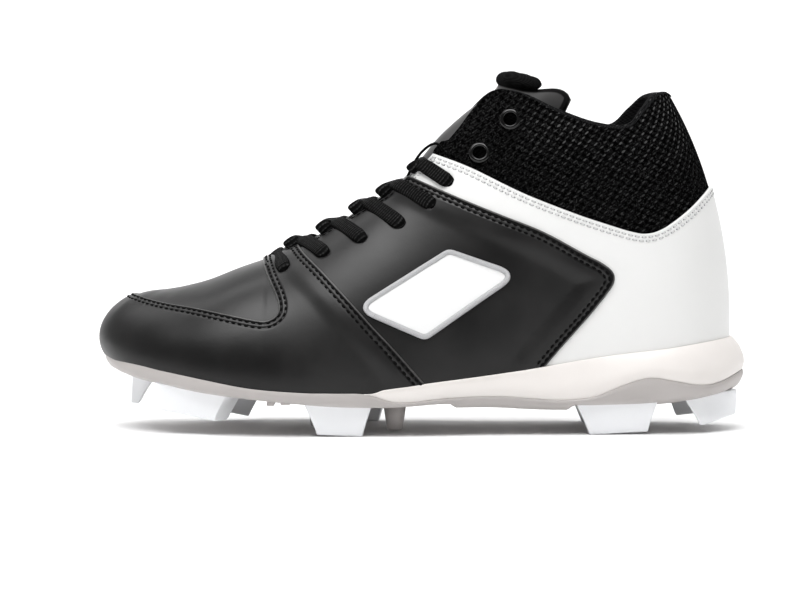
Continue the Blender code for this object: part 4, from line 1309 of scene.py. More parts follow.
@dataclass
class StitchRows:
    """Double rows of stitches along panel edges."""

    pitch: float = 2.85
    length: float = 2.15
    width: float = 1.05
    height: float = 0.55
    sink: float = 0.05
    dip: float = 0.35
    facets: int = 6
    heart: Pair = (-105.0, 85.0)
    heart_yz: Pair = (2.0, 45.0)
    slack: float = 0.5
    reach: float = 3.5
    lift: float = 4.0
    probe: float = 3.0

    def rows(self, lines: Sequence[Array], surface: BVHTree, distances: Pair) -> list[Spot]:
        """Where the stitches lie.

        Args:
            lines: The panel's edges.
            surface: The panel's finished skin.
            distances: How far the two rows lie from the edge.

        Returns:
            Middle, direction and normal of each stitch.
        """
        found = []
        for line in lines:
            inward = self._inward(line, surface)
            for d in distances:
                row = spaced(evened(spaced(line + inward * d, self.pitch / 4)), self.pitch)
                middles = (row[:-1] + row[1:]) / 2
                away = distance_to(lines, middles)
                for a, b, m, off in zip(row[:-1], row[1:], middles, away):
                    spot, normal = self._outer(m, surface)
                    if off > d - self.slack and (spot - Vector(m)).length < self.reach:
                        found.append((spot, Vector(b - a).normalized(), normal))
        return found

    def _outer(self, point: Array, surface: BVHTree) -> tuple[Vector, Vector]:
        """The spot and normal of a panel's outer face near a point."""
        at = Vector(point)
        heart = Vector((min(max(at.x, self.heart[0]), self.heart[1]), *self.heart_yz))
        _, normal, _, _ = surface.find_nearest(at)
        if normal.dot(at - heart) < 0:
            normal = -normal
        spot, normal, _, _ = surface.find_nearest(at + normal * self.lift)
        return spot, normal

    def _inward(self, line: Array, surface: BVHTree) -> Array:
        """Directions across an edge into its panel."""
        ahead = unit(np.gradient(line, axis=0))
        normals = np.array([self._outer(p, surface)[1] for p in line])
        across = unit(np.cross(ahead, evened(normals)))
        picked = range(2, len(line) - 2, max(1, len(line) // 9))
        gaps = []
        for sign in (1, -1):
            tried = [Vector(line[k] + sign * across[k] * self.probe) for k in picked]
            gaps.append(sum(surface.find_nearest(p)[3] for p in tried))
        return across if gaps[0] < gaps[1] else -across

    def build(self, spots: Sequence[Spot], name: str, finish: Finish) -> None:
        """All stitches of one colour, as one piece."""
        bm = bmesh.new()
        end = bm.verts.layers.float.new("stitch_end")
        for spot, ahead, normal in spots:
            across = normal.cross(ahead).normalized()
            up = ahead.cross(across)
            turn = Matrix((across, up, ahead)).transposed().to_4x4()
            size = Matrix.Diagonal((self.width / 2, self.height / 2, self.length / 2, 1.0))
            place = Matrix.Translation(spot + up * self.sink)
            made = bmesh.ops.create_uvsphere(
                bm, u_segments=self.facets, v_segments=self.facets, radius=1.0, matrix=place @ turn @ size,
            )
            for v in made["verts"]:
                along = abs((v.co - spot).dot(ahead)) / (self.length / 2)
                v[end] = along
                v.co -= up * self.dip * self.height * along**4
        make_piece(bm, name, finish)


@dataclass
class Panel:
    """A leather panel on the last: its area, what it laps over, and its holes."""

    name: str
    nodes: tuple[str, ...]
    finish: Finish
    area: SideValue
    shown_edge: SideValue
    lap_edge: Optional[SideValue] = None
    side: Optional[Side] = None
    holes: tuple[Pair, ...] = ()
    top: float = 1.3
    thick: float = 1.1
    lap: float = 0.95
    lap_width: float = 6.5
    lap_fade: float = 7.0
    roll: float = 0.5
    hole_radius: float = 2.5
    seam_slack: float = 0.6
    throat_from: float = 0.999
    stitched: bool = True
    lines: list[Array] = field(default_factory=list)
    skin: Optional[BVHTree] = None

    def build(self, last: Last, sheet: BMesh) -> None:
        """Cuts the panel from a copy of the last's whole sheet and gives it its thickness."""
        bm = sheet.copy()
        self._keep_side(bm, last)
        places = places_of(bm)
        trim(bm, self.area(places[:, [0, 2]]) + self.roll)
        self._keep_lines(bm)
        last.punch(bm, self.holes, [self.side] if self.side else list(Side), self.hole_radius)
        places = places_of(bm)
        set_column(bm, "edge_distance", distance_to(self.lines, places))
        height = np.full(len(places), self.top)
        if self.lap_edge is not None:
            inside = -self.lap_edge(places[:, [0, 2]])
            height += self.lap * (1 - smoothstep(self.lap_width, self.lap_width + self.lap_fade, inside))
        thicken(bm, height, self.thick, self.roll)
        self.skin = BVHTree.FromBMesh(bm)
        drop_layers(bm, ("edge_distance",))
        make_piece(bm, self.name, self.finish, self.nodes)

    def _keep_side(self, bm: BMesh, last: Last) -> None:
        """Drops the faces of the other side of the shoe."""
        if self.side is None:
            return
        place = bm.verts.layers.float["u"]
        medial = self.side is Side.MEDIAL
        other = []
        for face in bm.faces:
            middle = sum(v[place] for v in face.verts) / len(face.verts)
            if (middle > last.heel) != medial:
                other.append(face)
        bmesh.ops.delete(bm, geom=other, context="FACES")

    def _keep_lines(self, bm: BMesh) -> None:
        """Remembers the lines of the edges that show, for stitches and for the edge band, troughs and
        painted light along them.
        """
        t = bm.verts.layers.float["t"]
        cut = bm.verts.layers.float["cut"]
        shown = {}
        verts = [v for v in bm.verts if v.is_boundary]
        near = self.shown_edge(np.array([(v.co.x, v.co.z) for v in verts]))
        for v, d in zip(verts, near):
            seam = v[cut] == 0.0 and abs(d) < self.roll + self.seam_slack
            throat = v[t] > self.throat_from
            shown[v] = seam or throat
        self.lines = edge_lines(bm, lambda v: shown.get(v, False))


@dataclass
class Badge:
    """A plain lozenge patch with a satin border on each quarter."""

    middle: Pair = (6.1, 59.3)
    corners: Line2 = ((-33.0, -6.0), (5.0, 17.5), (33.0, 8.0), (-5.0, -18.0))
    rounding: float = 4.0
    top: float = 1.95
    thick: float = 0.8
    roll: float = 0.2
    border_width: float = 2.3
    border_height: float = 1.0
    border_lift: float = 0.45
    border_sides: int = 16
    corner_cuts: int = 12
    ray_from: float = 200.0

    def outline(self, step: float = 0.5) -> Array:
        """The patch's edge in the side view, as a closed line."""
        corners = np.array(self.corners) + np.array(self.middle)
        points = []
        for a, b, c in zip(np.roll(corners, 1, axis=0), corners, np.roll(corners, -1, axis=0)):
            ways = unit(np.array([a - b, c - b]))
            half = math.acos(float(np.dot(*ways))) / 2
            start, end = b + ways * self.rounding / math.tan(half)
            f = np.linspace(0, 1, self.corner_cuts + 1)[:, None]
            points.append((1 - f) ** 2 * start + 2 * f * (1 - f) * b + f**2 * end)
        line = np.vstack(points)
        return spaced(np.vstack([line, line[:1]]), step)

    def panel(self, side: Side) -> Panel:
        """The patch as a panel of the upper."""
        region = Region(self.outline()[:-1])
        return Panel(
            f"badge_patch_{side.word}", (), PATCH_WHITE, region.distance, no_edge,
            side=side, top=self.top, thick=self.thick, stitched=False, roll=self.roll,
        )

    def border(self, side: Side, skin: BVHTree) -> None:
        """The satin border, laid on the quarter's skin."""
        hits = []
        for x, z in self.outline():
            start = Vector((x, side.value * self.ray_from, z))
            spot, normal, _, _ = skin.ray_cast(start, Vector((0, -side.value, 0)))
            if spot is not None:
                hits.append((*spot, *normal))
        found = np.array(hits)
        path, normal = found[:, :3] + found[:, 3:] * self.border_lift, found[:, 3:]
        across = np.cross(unit(np.gradient(path, axis=0)), normal)
        bm = swept(path, across, ellipse(self.border_width / 2, self.border_height, self.border_sides))
        make_piece(bm, f"badge_border_{side.word}", GREY_SATIN)


@dataclass
class Upper:
    """The upper's leather panels, stitches and badge."""

    last: Last
    columns: int = 300
    rows: int = 92
    lap_under: float = 6.0
    panels: list[Panel] = field(default_factory=list)

    def build(self) -> None:
        """Makes every piece of the upper."""
        sheet = self.last.sheet(self.last.round_places(self.columns), np.linspace(0.0, 1.0, self.rows + 1))
        self._panels()
        for panel in self.panels:
            panel.build(self.last, sheet)
        self._badges(sheet)
        sheet.free()
        self._stitches()

    def _panels(self) -> None:
        """Lists the panels from the innermost out."""
        under = self.lap_under
        window, ball = BEHIND_WINDOW.distance, AHEAD_OF_BALL_SEAM.distance
        quarter, heel = AHEAD_OF_QUARTER_EDGE.distance, UNDER_HEEL_EDGE.distance
        self.panels = [
            Panel(
                "vamp_leather", (), BLACK_LEATHER, lambda p: window(p) - under, no_edge,
                top=0.35, thick=0.9, stitched=False,
            ),
            Panel(
                "heel_leather", ("heel_panel",), WHITE_LEATHER,
                lambda p: np.maximum(heel(p), -quarter(p) - under), heel, holes=LACE_HOLES[5:],
            ),
        ]
        for side in Side:
            self.panels.append(Panel(
                f"quarter_leather_{side.word}", (f"quarter_{side.word}",), BLACK_LEATHER,
                lambda p: np.maximum(quarter(p), -ball(p) - under), quarter, quarter, side, LACE_HOLES[1:5],
            ))
        self.panels.append(Panel(
            "toe_leather", ("toe_guard",), TOE_LEATHER, lambda p: np.maximum(ball(p), -window(p)),
            lambda p: np.minimum(abs(ball(p)), abs(window(p))), ball, holes=LACE_HOLES[:1],
        ))

    def _badges(self, sheet: BMesh) -> None:
        """Sews a plain patch to each quarter."""
        badge = Badge()
        for panel in [p for p in self.panels if p.name.startswith("quarter")]:
            badge.panel(panel.side).build(self.last, sheet)
            badge.border(panel.side, panel.skin)

    def _stitches(self) -> None:
        """Sews the panels' edges."""
        rows = StitchRows()
        black, white = [], []
        for panel in self.panels:
            if panel.stitched and panel.skin is not None:
                spots = rows.rows(panel.lines, panel.skin, panel.finish.rows_mm)
                (white if panel.finish is WHITE_LEATHER else black).extend(spots)
        rows.build(black, "stitches_black", BLACK_THREAD)
        rows.build(white, "stitches_white", WHITE_THREAD)


@dataclass
class Collar:
    """The mesh collar and the padded lining, from the throat's edges round the heel."""

    last: Last
    cloth_step: float = 0.62
    cloth_top: float = 150.0
    cloth_level: float = 0.85
    cloth_rows: int = 129
    samples: int = 4000
    nudge: float = 0.05
    first_row: float = 8.5
    lowest: float = 0.3
    under: float = 6.0
    wall: float = 2.0
    pad: float = 2.5
    pad_from: Pair = (0.0, 100.0)
    pad_to: Pair = (30.0, 126.0)
    crest: float = 1.4
    crest_drop: float = 1.1
    outer: float = 0.55
    start_turn: float = -14.0
    ring_hole: float = 3.2
    hem: float = 0.9
    hem_from: Pair = (10.3, 10.65)
    hem_to: Pair = (11.1, 11.7)
    hem_tip: float = 2.4
    tip_from: Pair = (9.6, 9.8)
    tip_to: Pair = (9.95, 10.1)
    near_rim: float = 0.97
    lining_columns: int = 260
    lining_span: Pair = (0.975, 0.02)
    soft_from: Pair = (11.4, 13.2)
    thin_edge: float = 0.25

    def build(self) -> None:
        """Makes the mesh and the lining."""
        self._mesh()
        self._lining()

    def _wing(self, u: Array, t: Values) -> Array:
        """Points of the outer surface, drawn forward over the tongue along the wing's front edge."""
        station = np.minimum(u, self.last.turns - u)
        upper = smoothstep(*self.hem_from, station) * (1 - smoothstep(*self.hem_to, station))
        tip = smoothstep(*self.tip_from, station) * (1 - smoothstep(*self.tip_to, station))
        push = (self.hem * upper + self.hem_tip * tip) * smoothstep(0.9, 1.0, t)
        rise = unit(self.last.point(u, 1.0) - self.last.point(u, self.near_rim))
        return self.last.point(u, t) + rise * push[:, None]

    def _mesh(self) -> None:
        """The cloth above the heel panel, laid out in its own coordinates."""
        last = self.last
        span = np.linspace(self.first_row, last.turns - self.first_row, self.samples)
        run = run_of(last.point(span, self.cloth_level))
        u = np.interp(np.linspace(0, run[-1], round(run[-1] / self.cloth_step)), run, span)
        bm = mapped_grid(u, np.linspace(self.lowest, 1.0, self.cloth_rows + 1), self._wing)
        keep_normals(bm)
        trim(bm, -UNDER_HEEL_EDGE.distance(places_of(bm)[:, [0, 2]]) - self.under)
        last.punch(bm, RING_HOLES, list(Side), self.ring_hole)
        across, down = self._cloth_places(column(bm, "u"), column(bm, "t"))
        lay_out(bm, across * MM, down * MM)
        drop_layers(bm)
        make_piece(bm, "collar_mesh_cloth", BLACK_KNIT, ("upper",))

    def _cloth_places(self, u: Array, t: Array) -> tuple[Array, Array]:
        """The cloth's own coordinates, straight in the side view.

        Args:
            u: Places round the shoe.
            t: Places up the ribs.

        Returns:
            Distances round the collar from the heel's middle, and distances down.
        """
        last = self.last
        span = np.linspace(self.first_row, last.turns - self.first_row, self.samples)
        level = self.cloth_level
        run = run_of(last.point(span, level) * LEVEL)
        ahead = (last.point(u + self.nudge, level) - last.point(u - self.nudge, level)) * LEVEL
        points = last.point(u, t)
        lean = np.sum((points - last.point(u, level)) * unit(ahead), axis=1)
        return np.interp(u, span, run - run[-1] / 2) + lean, self.cloth_top - points[:, 2]

    def _depth(self, points: Array) -> Array:
        """How far the lining lies inside the outer surface."""
        back = smoothstep(self.pad_from[0], self.pad_to[0], points[:, 0])
        high = smoothstep(self.pad_from[1], self.pad_to[1], points[:, 2])
        return (self.wall + self.pad * back * high)[:, None]

    def _lining(self, steps: int = 14, inside: int = 56) -> None:
        """The lining, rolled out over the rim as a soft edge."""
        last = self.last
        u = last.round_places(self.lining_columns)
        station = np.minimum(u, last.turns - u)
        collar = smoothstep(*self.soft_from, station)[:, None]
        rim, normal = self._wing(u, 1.0), last.normals(u, 0.985)
        rise = unit(rim - last.point(u, self.near_rim))
        depth = self._depth(rim)
        outer = self.outer * collar
        crest = self.thin_edge + (self.crest - self.thin_edge) * collar
        rim = rim - rise * self.crest_drop * collar
        rows = []
        for turn in np.radians(np.linspace(self.start_turn, 180.0, steps)):
            reach = (outer - depth) / 2 + (outer + depth) / 2 * math.cos(turn)
            rows.append(rim + normal * reach + rise * crest * math.sin(turn))
        for t in np.linspace(*self.lining_span, inside):
            wall = last.point(u, t)
            rows.append(wall - last.normals(u, t) * self._depth(wall))
        bm = grid_of(np.stack(rows, axis=1))
        bmesh.ops.remove_doubles(bm, verts=bm.verts, dist=WELD)
        drop_layers(bm)
        piece = make_piece(bm, "collar_lining", LINING_CLOTH, ("upper",))


@dataclass
class RingEyelets:
    """Black ringed eyelets in the collar."""

    last: Last
    profile: Line2 = (
        (2.75, -2.4), (2.75, 0.7), (2.95, 1.0), (3.3, 1.12), (3.7, 1.1),
        (4.1, 0.92), (4.45, 0.66), (4.6, 0.36), (4.65, 0.0),
    )
    segments: int = 32
    tip: Place = (0.26, 0.0, 0.1)

    def build(self) -> None:
        """Makes a ring for each hole on both sides."""
        for side in Side:
            for n, xz in enumerate(RING_HOLES, 1):
                centre, normal, _, _ = self.last.on_side(side, xz)
                self._ring(f"eyelet_ring_{side.word}_{n}", f"eyelet_{side.word}_{n}", centre, normal)

    def _ring(self, name: str, node: str, centre: Array, normal: Array) -> None:
        """One ring, turned from its profile and set on the surface."""
        bm = bmesh.new()
        verts = [bm.verts.new((r, 0.0, z)) for r, z in self.profile]
        edges = [bm.edges.new(pair) for pair in zip(verts, verts[1:])]
        bmesh.ops.spin(
            bm, geom=[*verts, *edges], cent=(0, 0, 0), axis=(0, 0, 1), dvec=(0, 0, 0), angle=2 * math.pi,
            steps=self.segments, use_merge=True,
        )
        bmesh.ops.recalc_face_normals(bm, faces=bm.faces)
        axis = Vector(normal) + Vector(self.tip)
        turn = axis.to_track_quat("Z", "Y").to_matrix().to_4x4()
        bmesh.ops.transform(bm, matrix=Matrix.Translation(Vector(centre)) @ turn, verts=bm.verts)
        make_piece(bm, name, BLACK_ENAMEL, (node,))


# Tongue and lacing


@dataclass
class Tongue:
    """The padded leather tongue with its wings, and the cloth roll along its top."""

    rows: tuple[TongueRow, ...] = TONGUE_ROWS
    turn_deg: float = 80.0
    along: int = 130
    across: int = 64
    puff: float = 2.1
    puff_edge: Pair = (1.5, 8.0)
    puff_from: Pair = (0.06, 0.2)
    puff_to: Pair = (0.5, 0.62)
    sunk: float = 0.6
    edge_roll: float = 1.2
    edge_cuts: int = 6
    roll_radius: float = 3.9
    roll_end: float = 4.4
    roll_step: float = 0.5
    roll_front: float = 0.3
    roll_flat: float = 0.92
    roll_axis: Place = (1.0, 0.0, 0.25)
    roll_turn_deg: float = 54.5
    roll_rise: float = 2.2
    roll_back: float = 2.4
    roll_drop: float = 0.85
    roll_dip: float = 0.9
    wing_lift: float = 3.6
    wing_back: float = 2.2
    wing_from: Pair = (0.8, 1.0)
    corner: float = 0.22
    corner_cut: float = 0.13

    def build(self) -> None:
        """Makes the tongue and its roll."""
        self._leather()
        self._roll()

    def _leather(self) -> None:
        """The tongue itself."""
        count = len(self.rows) - 1
        table = catmull(np.array(self.rows), np.linspace(0, count, self.along + 1))
        turn = np.radians(np.linspace(-self.turn_deg, self.turn_deg, self.across + 1))
        fall = 1 - np.cos(turn)
        wing = np.clip((abs(turn) / turn[-1] - 1 + self.corner) / self.corner, 0, 1)
        along = np.outer(np.linspace(0, 1, self.along + 1), 1 - self.corner_cut * (1 - np.sqrt(1 - wing**2)))
        fine = catmull(np.array(self.rows), along.ravel() * count).reshape(*along.shape, -1)
        x, z, half, back, drop = (fine[:, :, k] for k in range(5))
        lift = self.wing_lift * smoothstep(*self.wing_from, along) * smoothstep(0.25, 0.7, fall)
        back = back + self.wing_back * smoothstep(*self.wing_from, along)
        points = np.stack([x + back * fall, half * np.sin(turn), z - drop * fall + lift], axis=2)
        bm = grid_of(points)
        keep_normals(bm)
        lines = edge_lines(bm, lambda v: True)
        off = distance_to(lines, places_of(bm))
        set_column(bm, "edge_distance", off)
        depth = np.interp(column(bm, "u"), np.arange(len(table)), table[:, 5])
        share = column(bm, "u") / self.along
        cushion = self.puff * smoothstep(*self.puff_edge, off) * smoothstep(*self.puff_from, share)
        cushion *= 1 - smoothstep(*self.puff_to, share)
        thicken(bm, cushion - self.sunk, depth, self.edge_roll, self.edge_cuts)
        drop_layers(bm, ("edge_distance",))
        piece = make_piece(bm, "tongue_leather", LIT_TONGUE_LEATHER, ("tongue",))

    def _roll(self, sides: int = 24) -> None:
        """A soft roll of cloth that follows the tongue's top edge."""
        top = self.rows[-1]
        turn = np.radians(np.linspace(-self.roll_turn_deg, self.roll_turn_deg, 240))
        fall = 1 - np.cos(turn)
        path = spaced(np.column_stack([
            top.x + self.roll_back + top.back * fall,
            top.half_width * np.sin(turn),
            top.z + self.roll_rise - top.drop * self.roll_drop * fall,
        ]), self.roll_step)
        run = run_of(path)
        from_end = np.minimum(run, run[-1] - run)
        share = 2 * run / run[-1] - 1
        front = np.exp(-((share / self.roll_front) ** 2))
        path[:, 2] -= self.roll_dip * front
        ends = 1 - np.clip(from_end / self.roll_end, 0.03, 1)
        size = self.roll_radius * np.sqrt(np.clip(1 - ends**2, 0, 1))
        size *= (1 - 0.3 * share**2 - 0.14 * front) * (1 + 0.03 * np.sin(run * 0.9))
        around = np.linspace(0, 2 * math.pi, sides + 1)
        flat = np.outer(size, np.sin(around)) * self.roll_flat
        ring = np.stack([np.outer(size, np.cos(around)), flat], axis=2)
        bm = swept(path, np.tile(self.roll_axis, (len(path), 1)), ring)
        piece = make_piece(bm, "tongue_roll", ROLL_CLOTH, ("tongue_tab",))


@dataclass
class Lacing:
    """One flat lace, criss-crossed from a bar at the lowest pair of holes."""

    last: Last
    width: float = 6.5
    thick: float = 2.3
    lean_deg: tuple[float, ...] = (54.0, 26.0, 31.0, 32.0, 28.0, 33.0)
    hump: tuple[float, ...] = (2.2, 2.0, 1.6, 1.8, 1.7, 1.9)
    over: float = 2.45
    pinch: float = 0.26
    pinch_reach: Pair = (0.6, 3.0)
    knuckle: float = 0.22
    knuckle_reach: float = 5.0
    sides: int = 20
    first_drop: float = 0.9
    rise_share: tuple[float, ...] = (0.54, 0.6, 0.64, 0.56, 0.78)
    inside: float = 3.2
    cross_gap: float = 2.2
    cross_rise: float = 0.9
    cross_way: Place = (-0.5, 0.0, 0.85)
    bump: tuple[Pair, ...] = ((4.5, 3.4), (3.5, 0.6), (-2.4, -0.7))
    bar_shift: Place = (-1.0, 0.0, 2.2)
    flat_way: Place = (0.83, 0.0, 0.56)
    tuck: float = 6.0
    last_row: float = 11.5
    step: float = 0.7
    keeper_radius: float = 0.6
    keeper: tuple[Place, ...] = (
        (-6.0, -9.0, 108.0), (-3.6, -12.0, 113.0), (-0.6, -15.0, 117.6),
        (3.2, -16.4, 120.9), (6.4, -16.8, 121.6), (9.0, -16.0, 118.6),
    )

    def build(self) -> None:
        """Sweeps the lace along its path."""
        path, across = self._path()
        turns = np.linspace(0, 2 * math.pi, self.sides + 1)
        flat = np.sign(np.cos(turns)) * abs(np.cos(turns)) ** 0.8 * self.width / 2
        high = np.sign(np.sin(turns)) * abs(np.sin(turns)) ** 0.75 * self.thick / 2
        holes = tree_of(np.array([stop.hole for side in Side for stop in self._stops(side)]))
        far = np.array([holes.find(p)[2] for p in path])
        rises = tree_of(np.vstack([self._rises(side) for side in Side]))
        off = np.array([rises.find(p)[2] for p in path])
        bent = self.knuckle * np.exp(-((off / self.knuckle_reach) ** 2))
        size = 1 - self.pinch * (1 - smoothstep(*self.pinch_reach, far))
        thick = 1 + 0.3 * (1 - size) + 2.2 * bent
        ring = np.stack([np.outer(size - 0.4 * bent, flat), np.outer(thick, high)], axis=2)
        make_piece(swept(path, across, ring), "lace_band", BLACK_BRAID, ("laces",))
        self._keeper()

    def _keeper(self, sides: int = 10) -> None:
        """A thin cord that holds the tongue to the collar's corner, beside the top lace."""
        path = smooth_line(self.keeper, 0.4)
        across = np.tile([0.0, 1.0, 0.0], (len(path), 1))
        bm = swept(path, across, ellipse(self.keeper_radius, self.keeper_radius, sides))
        make_piece(bm, "tongue_keeper_cord", BLACK_BRAID, ("laces",))

    def _edge(self, side: Side) -> tuple[Array, Array]:
        """The throat's edge on one side, with its outward normals."""
        s = np.linspace(self.last.throat_row + 0.05, self.last_row, 400)
        u = s if side is Side.LATERAL else self.last.turns - s
        return self.last.point(u, 1.0), self.last.normals(u, 0.98)

    def _rises(self, side: Side) -> list[Array]:
        """Where the lace comes up from under the throat's edge, between its holes."""
        stops = self._stops(side)
        return [self._rise(stops, k) for k in range(1, len(stops))]

    def _rise(self, stops: Sequence[LaceStop], k: int) -> Array:
        """The point of the throat's edge below hole k where the lace comes up."""
        share = self.rise_share[k - 1]
        return stops[k - 1].edge * (1 - share) + stops[k].edge * share

    def _stops(self, side: Side, wrong_way: float = 50.0) -> list[LaceStop]:
        """The holes of one side from the lowest up, with the lace's places over the throat's edge."""
        edge, normals = self._edge(side)
        stops = []
        for n, (xz, lean, hump) in enumerate(zip(LACE_HOLES, np.radians(self.lean_deg), self.hump)):
            hole, normal, _, _ = self.last.on_side(side, xz)
            away = edge[:, [0, 2]] - np.array(xz)
            off_ray = abs(away[:, 0] * math.sin(lean) + away[:, 1] * math.cos(lean))
            k = int(np.argmin(off_ray + wrong_way * (away[:, 1] < 0)))
            drop = normals[k] * (0.0 if n else self.first_drop)
            over = edge[k] + normals[k] * hump - drop
            stops.append(LaceStop(hole, normal, edge[k] - drop, normals[k], over))
        return stops

    def _down(self, stop: LaceStop) -> list[Array]:
        """Lace points from over the edge down into a hole and back under the eyestay."""
        hole, normal = stop.hole, stop.normal
        way = unit(hole - stop.edge)
        rest = (hole + stop.edge) / 2
        tilt = unit(normal + stop.edge_normal)
        return [
            stop.over - way * 0.4,
            rest + tilt * (self.over + 0.35),
            hole - way * 1.2 + normal * self.over,
            hole + way * 0.6 + normal * 0.6,
            hole - normal * self.inside * 0.7,
            rest - tilt * self.inside,
        ]

    def _path(self) -> tuple[Array, Array]:
        """The whole lace from one tucked end to the other, and its width direction."""
        stops = {side: self._stops(side) for side in Side}
        top = len(LACE_HOLES) - 1
        half: dict[Side, list[Array]] = {}
        for first in Side:
            side = first
            end = stops[side][top]
            points = [end.hole - end.normal * self.tuck, *self._down(end)[-2::-1]]
            for k in range(top, 0, -1):
                side = side.other
                points += self._crossing(stops, side, k) + self._down(stops[side][k - 1])[::-1]
            half[first] = points
        bar = (stops[Side.LATERAL][0].edge + stops[Side.MEDIAL][0].edge) / 2 + np.array(self.bar_shift)
        points = np.array([*half[Side.LATERAL], bar, *half[Side.MEDIAL][::-1]])
        path = spaced(catmull(points, np.linspace(0, len(points) - 1, 40 * len(points))), self.step)
        return path, np.tile(self.flat_way, (len(path), 1))

    def _crossing(self, stops: dict[Side, list[LaceStop]], side: Side, k: int) -> list[Array]:
        """Lace points from the other side's hole k, across the tongue, to under this side's edge."""
        far = stops[side.other][k]
        low, high = stops[side][k - 1], stops[side][k]
        out = self._rise(stops[side], k)
        up = unit(low.edge_normal + high.edge_normal)
        inward = np.array([0.0, -side.value, 0.0])
        rise = self.cross_rise + (self.cross_gap if side is Side.MEDIAL else 0.0)
        middle = (far.edge + out) / 2 + np.array(self.cross_way) * rise
        return [middle, *(out + up * a + inward * b for a, b in self.bump)]


# Soles and studs


@dataclass
class Soles:
    """Grey outsole, cream midsole wedge and sock liner."""

    last: Last
    columns: int = 260
    shank: Pair = (14.4, 60.5)
    shank_ramp: float = 3.0
    shank_step: float = 1.7
    midsole_from: float = -25.0
    rim_out: float = 2.5
    rim_in: float = 4.6
    gap: float = 0.3
    footbed: float = 6.0
    liner: float = 4.5
    footbed_ramp: float = 50.0
    footbed_least: float = 0.4
    liner_inset: Pair = (3.4, 3.2)
    liner_rear: Pair = (-32.0, 24.0)
    small_studs: tuple[tuple[float, float, float, float], ...] = (
        (-11.5, -24.0, 5.2, 3.2), (-44.0, -8.0, 5.2, 3.2),
    )
    small_low: float = 1.2
    small_round: float = 0.9
    seat: float = 1.5
    rib_round: float = 0.5
    ribs: tuple[tuple[float, float, float], ...] = ((-63.2, 3.2, 2.0), (-57.0, 4.2, 1.0))
    rib_inset: float = 4.0
    lip: float = 0.4
    lip_end: Pair = (-22.0, -14.0)
    toe_lip: float = 1.0
    toe_lip_end: Pair = (-115.0, -65.0)
    welt: float = 0.9
    welt_from: Pair = (-141.0, -121.0)
    welt_to: Pair = (5.0, 25.0)
    arch: tuple[float, float, float] = (0.5, 31.0, 13.0)
    crown: Pair = (0.6, 0.7)
    crown_from: Pair = (100.0, 128.0)
    wedge: float = 9.0
    full_height: float = 12.0

    def profile(self, x: Array) -> Array:
        """Columns of the sole table, with the shank's step in the underside."""
        p = table_at(SOLE_ROWS, x)
        inward = smoothstep(self.shank[0] - self.shank_ramp, self.shank[0], x)
        outward = smoothstep(-self.shank[1] - self.shank_ramp, -self.shank[1], -x)
        share, place, reach = self.arch
        hollow = 1 - share * np.exp(-(((x - place) / reach) ** 2))
        p[:, 1] -= self.shank_step * np.minimum(inward, outward) * hollow
        p[:, 3] += self.welt * smoothstep(*self.welt_from, x) * (1 - smoothstep(*self.welt_to, x))
        return p

    def build(self) -> None:
        """Makes the three soles."""
        u = self.last.round_places(self.columns)
        foot, out = self.last.foot(u)
        self._outsole(foot, out)
        self._midsole(foot, out)
        self._liner(foot, out)

    @staticmethod
    def _loops(foot: Array, out: Array, places: Sequence[tuple[Values, Array]]) -> list[Array]:
        """The foot line moved outwards by some offsets, each with its own heights."""
        made = []
        for offset, heights in places:
            moved = foot + out * np.broadcast_to(offset, len(foot))[:, None]
            moved[:, 2] = heights
            made.append(moved)
        return made

    @staticmethod
    def _to_middle(loop: Array, shares: Sequence[float]) -> list[Array]:
        """Copies of a loop drawn in towards the shoe's middle line."""
        middle = (loop + loop[::-1]) / 2
        return [middle + (loop - middle) * k for k in shares]

    @staticmethod
    def _rounded(loops: Sequence[Array], cuts: int) -> list[Array]:
        """Loops with smooth loops between them."""
        table = np.stack(loops).reshape(len(loops), -1)
        fine = catmull(table, np.linspace(0, len(loops) - 1, (len(loops) - 1) * cuts + 1))
        return list(fine.reshape(len(fine), *loops[0].shape))

    def _lip(self, x: Array) -> Array:
        """How far the outsole's edge stands up round the front of the upper."""
        toe = self.toe_lip * (1 - smoothstep(*self.toe_lip_end, x))
        return (self.lip + toe) * (1 - smoothstep(*self.lip_end, x))

    def _outsole(self, foot: Array, out: Array) -> None:
        """The outsole with its wall, cross ribs and small round studs."""
        _, bottom, top, flare, bevel = self.profile(foot[:, 0]).T
        high = top - bottom
        top = top + self._lip(foot[:, 0])
        wall = self._rounded(self._loops(foot, out, [
            (flare - bevel - 1.0, bottom),
            (flare - bevel, bottom + 0.02 * high),
            (flare - 0.35 * bevel, bottom + 0.26 * high),
            (flare, bottom + 0.72 * high),
            (flare - 0.05, top - 0.3),
            (flare - 0.3, top),
        ]), 4)
        rows = self._to_middle(wall[0], np.linspace(0, 0.98, 14)) + wall
        rows += self._to_middle(wall[-1], (0.97, 0.9, 0.6, 0.3, 0.0))
        bm = skin_of(rows)
        for x, y, base, tip in self.small_studs:
            self._small_stud(bm, x, y, base, tip)
        for x, length, depth in self.ribs:
            self._rib(bm, foot, x, length, depth)
        make_piece(bm, "outsole_rubber", GREY_RUBBER, ("outsole",))

    def bottom(self, x: float) -> float:
        """Height of the outsole's underside."""
        return float(self.profile(np.array([x]))[0, 1])

    def _small_stud(self, bm: BMesh, x: float, y: float, base: float, tip: float) -> None:
        """A small round stud with a rounded tip."""
        top, low = self.bottom(x) + self.seat, self.small_low
        made = bmesh.ops.create_cone(
            bm, cap_ends=True, segments=28, radius1=tip, radius2=base, depth=top - low,
            matrix=Matrix.Translation((x, y, (top + low) / 2)),
        )
        rim = {e for v in made["verts"] if v.co.z < low + 0.1 for e in v.link_edges}
        rim = [e for e in rim if max(v.co.z for v in e.verts) < low + 0.1]
        round_edges(bm, rim, self.small_round, 4)

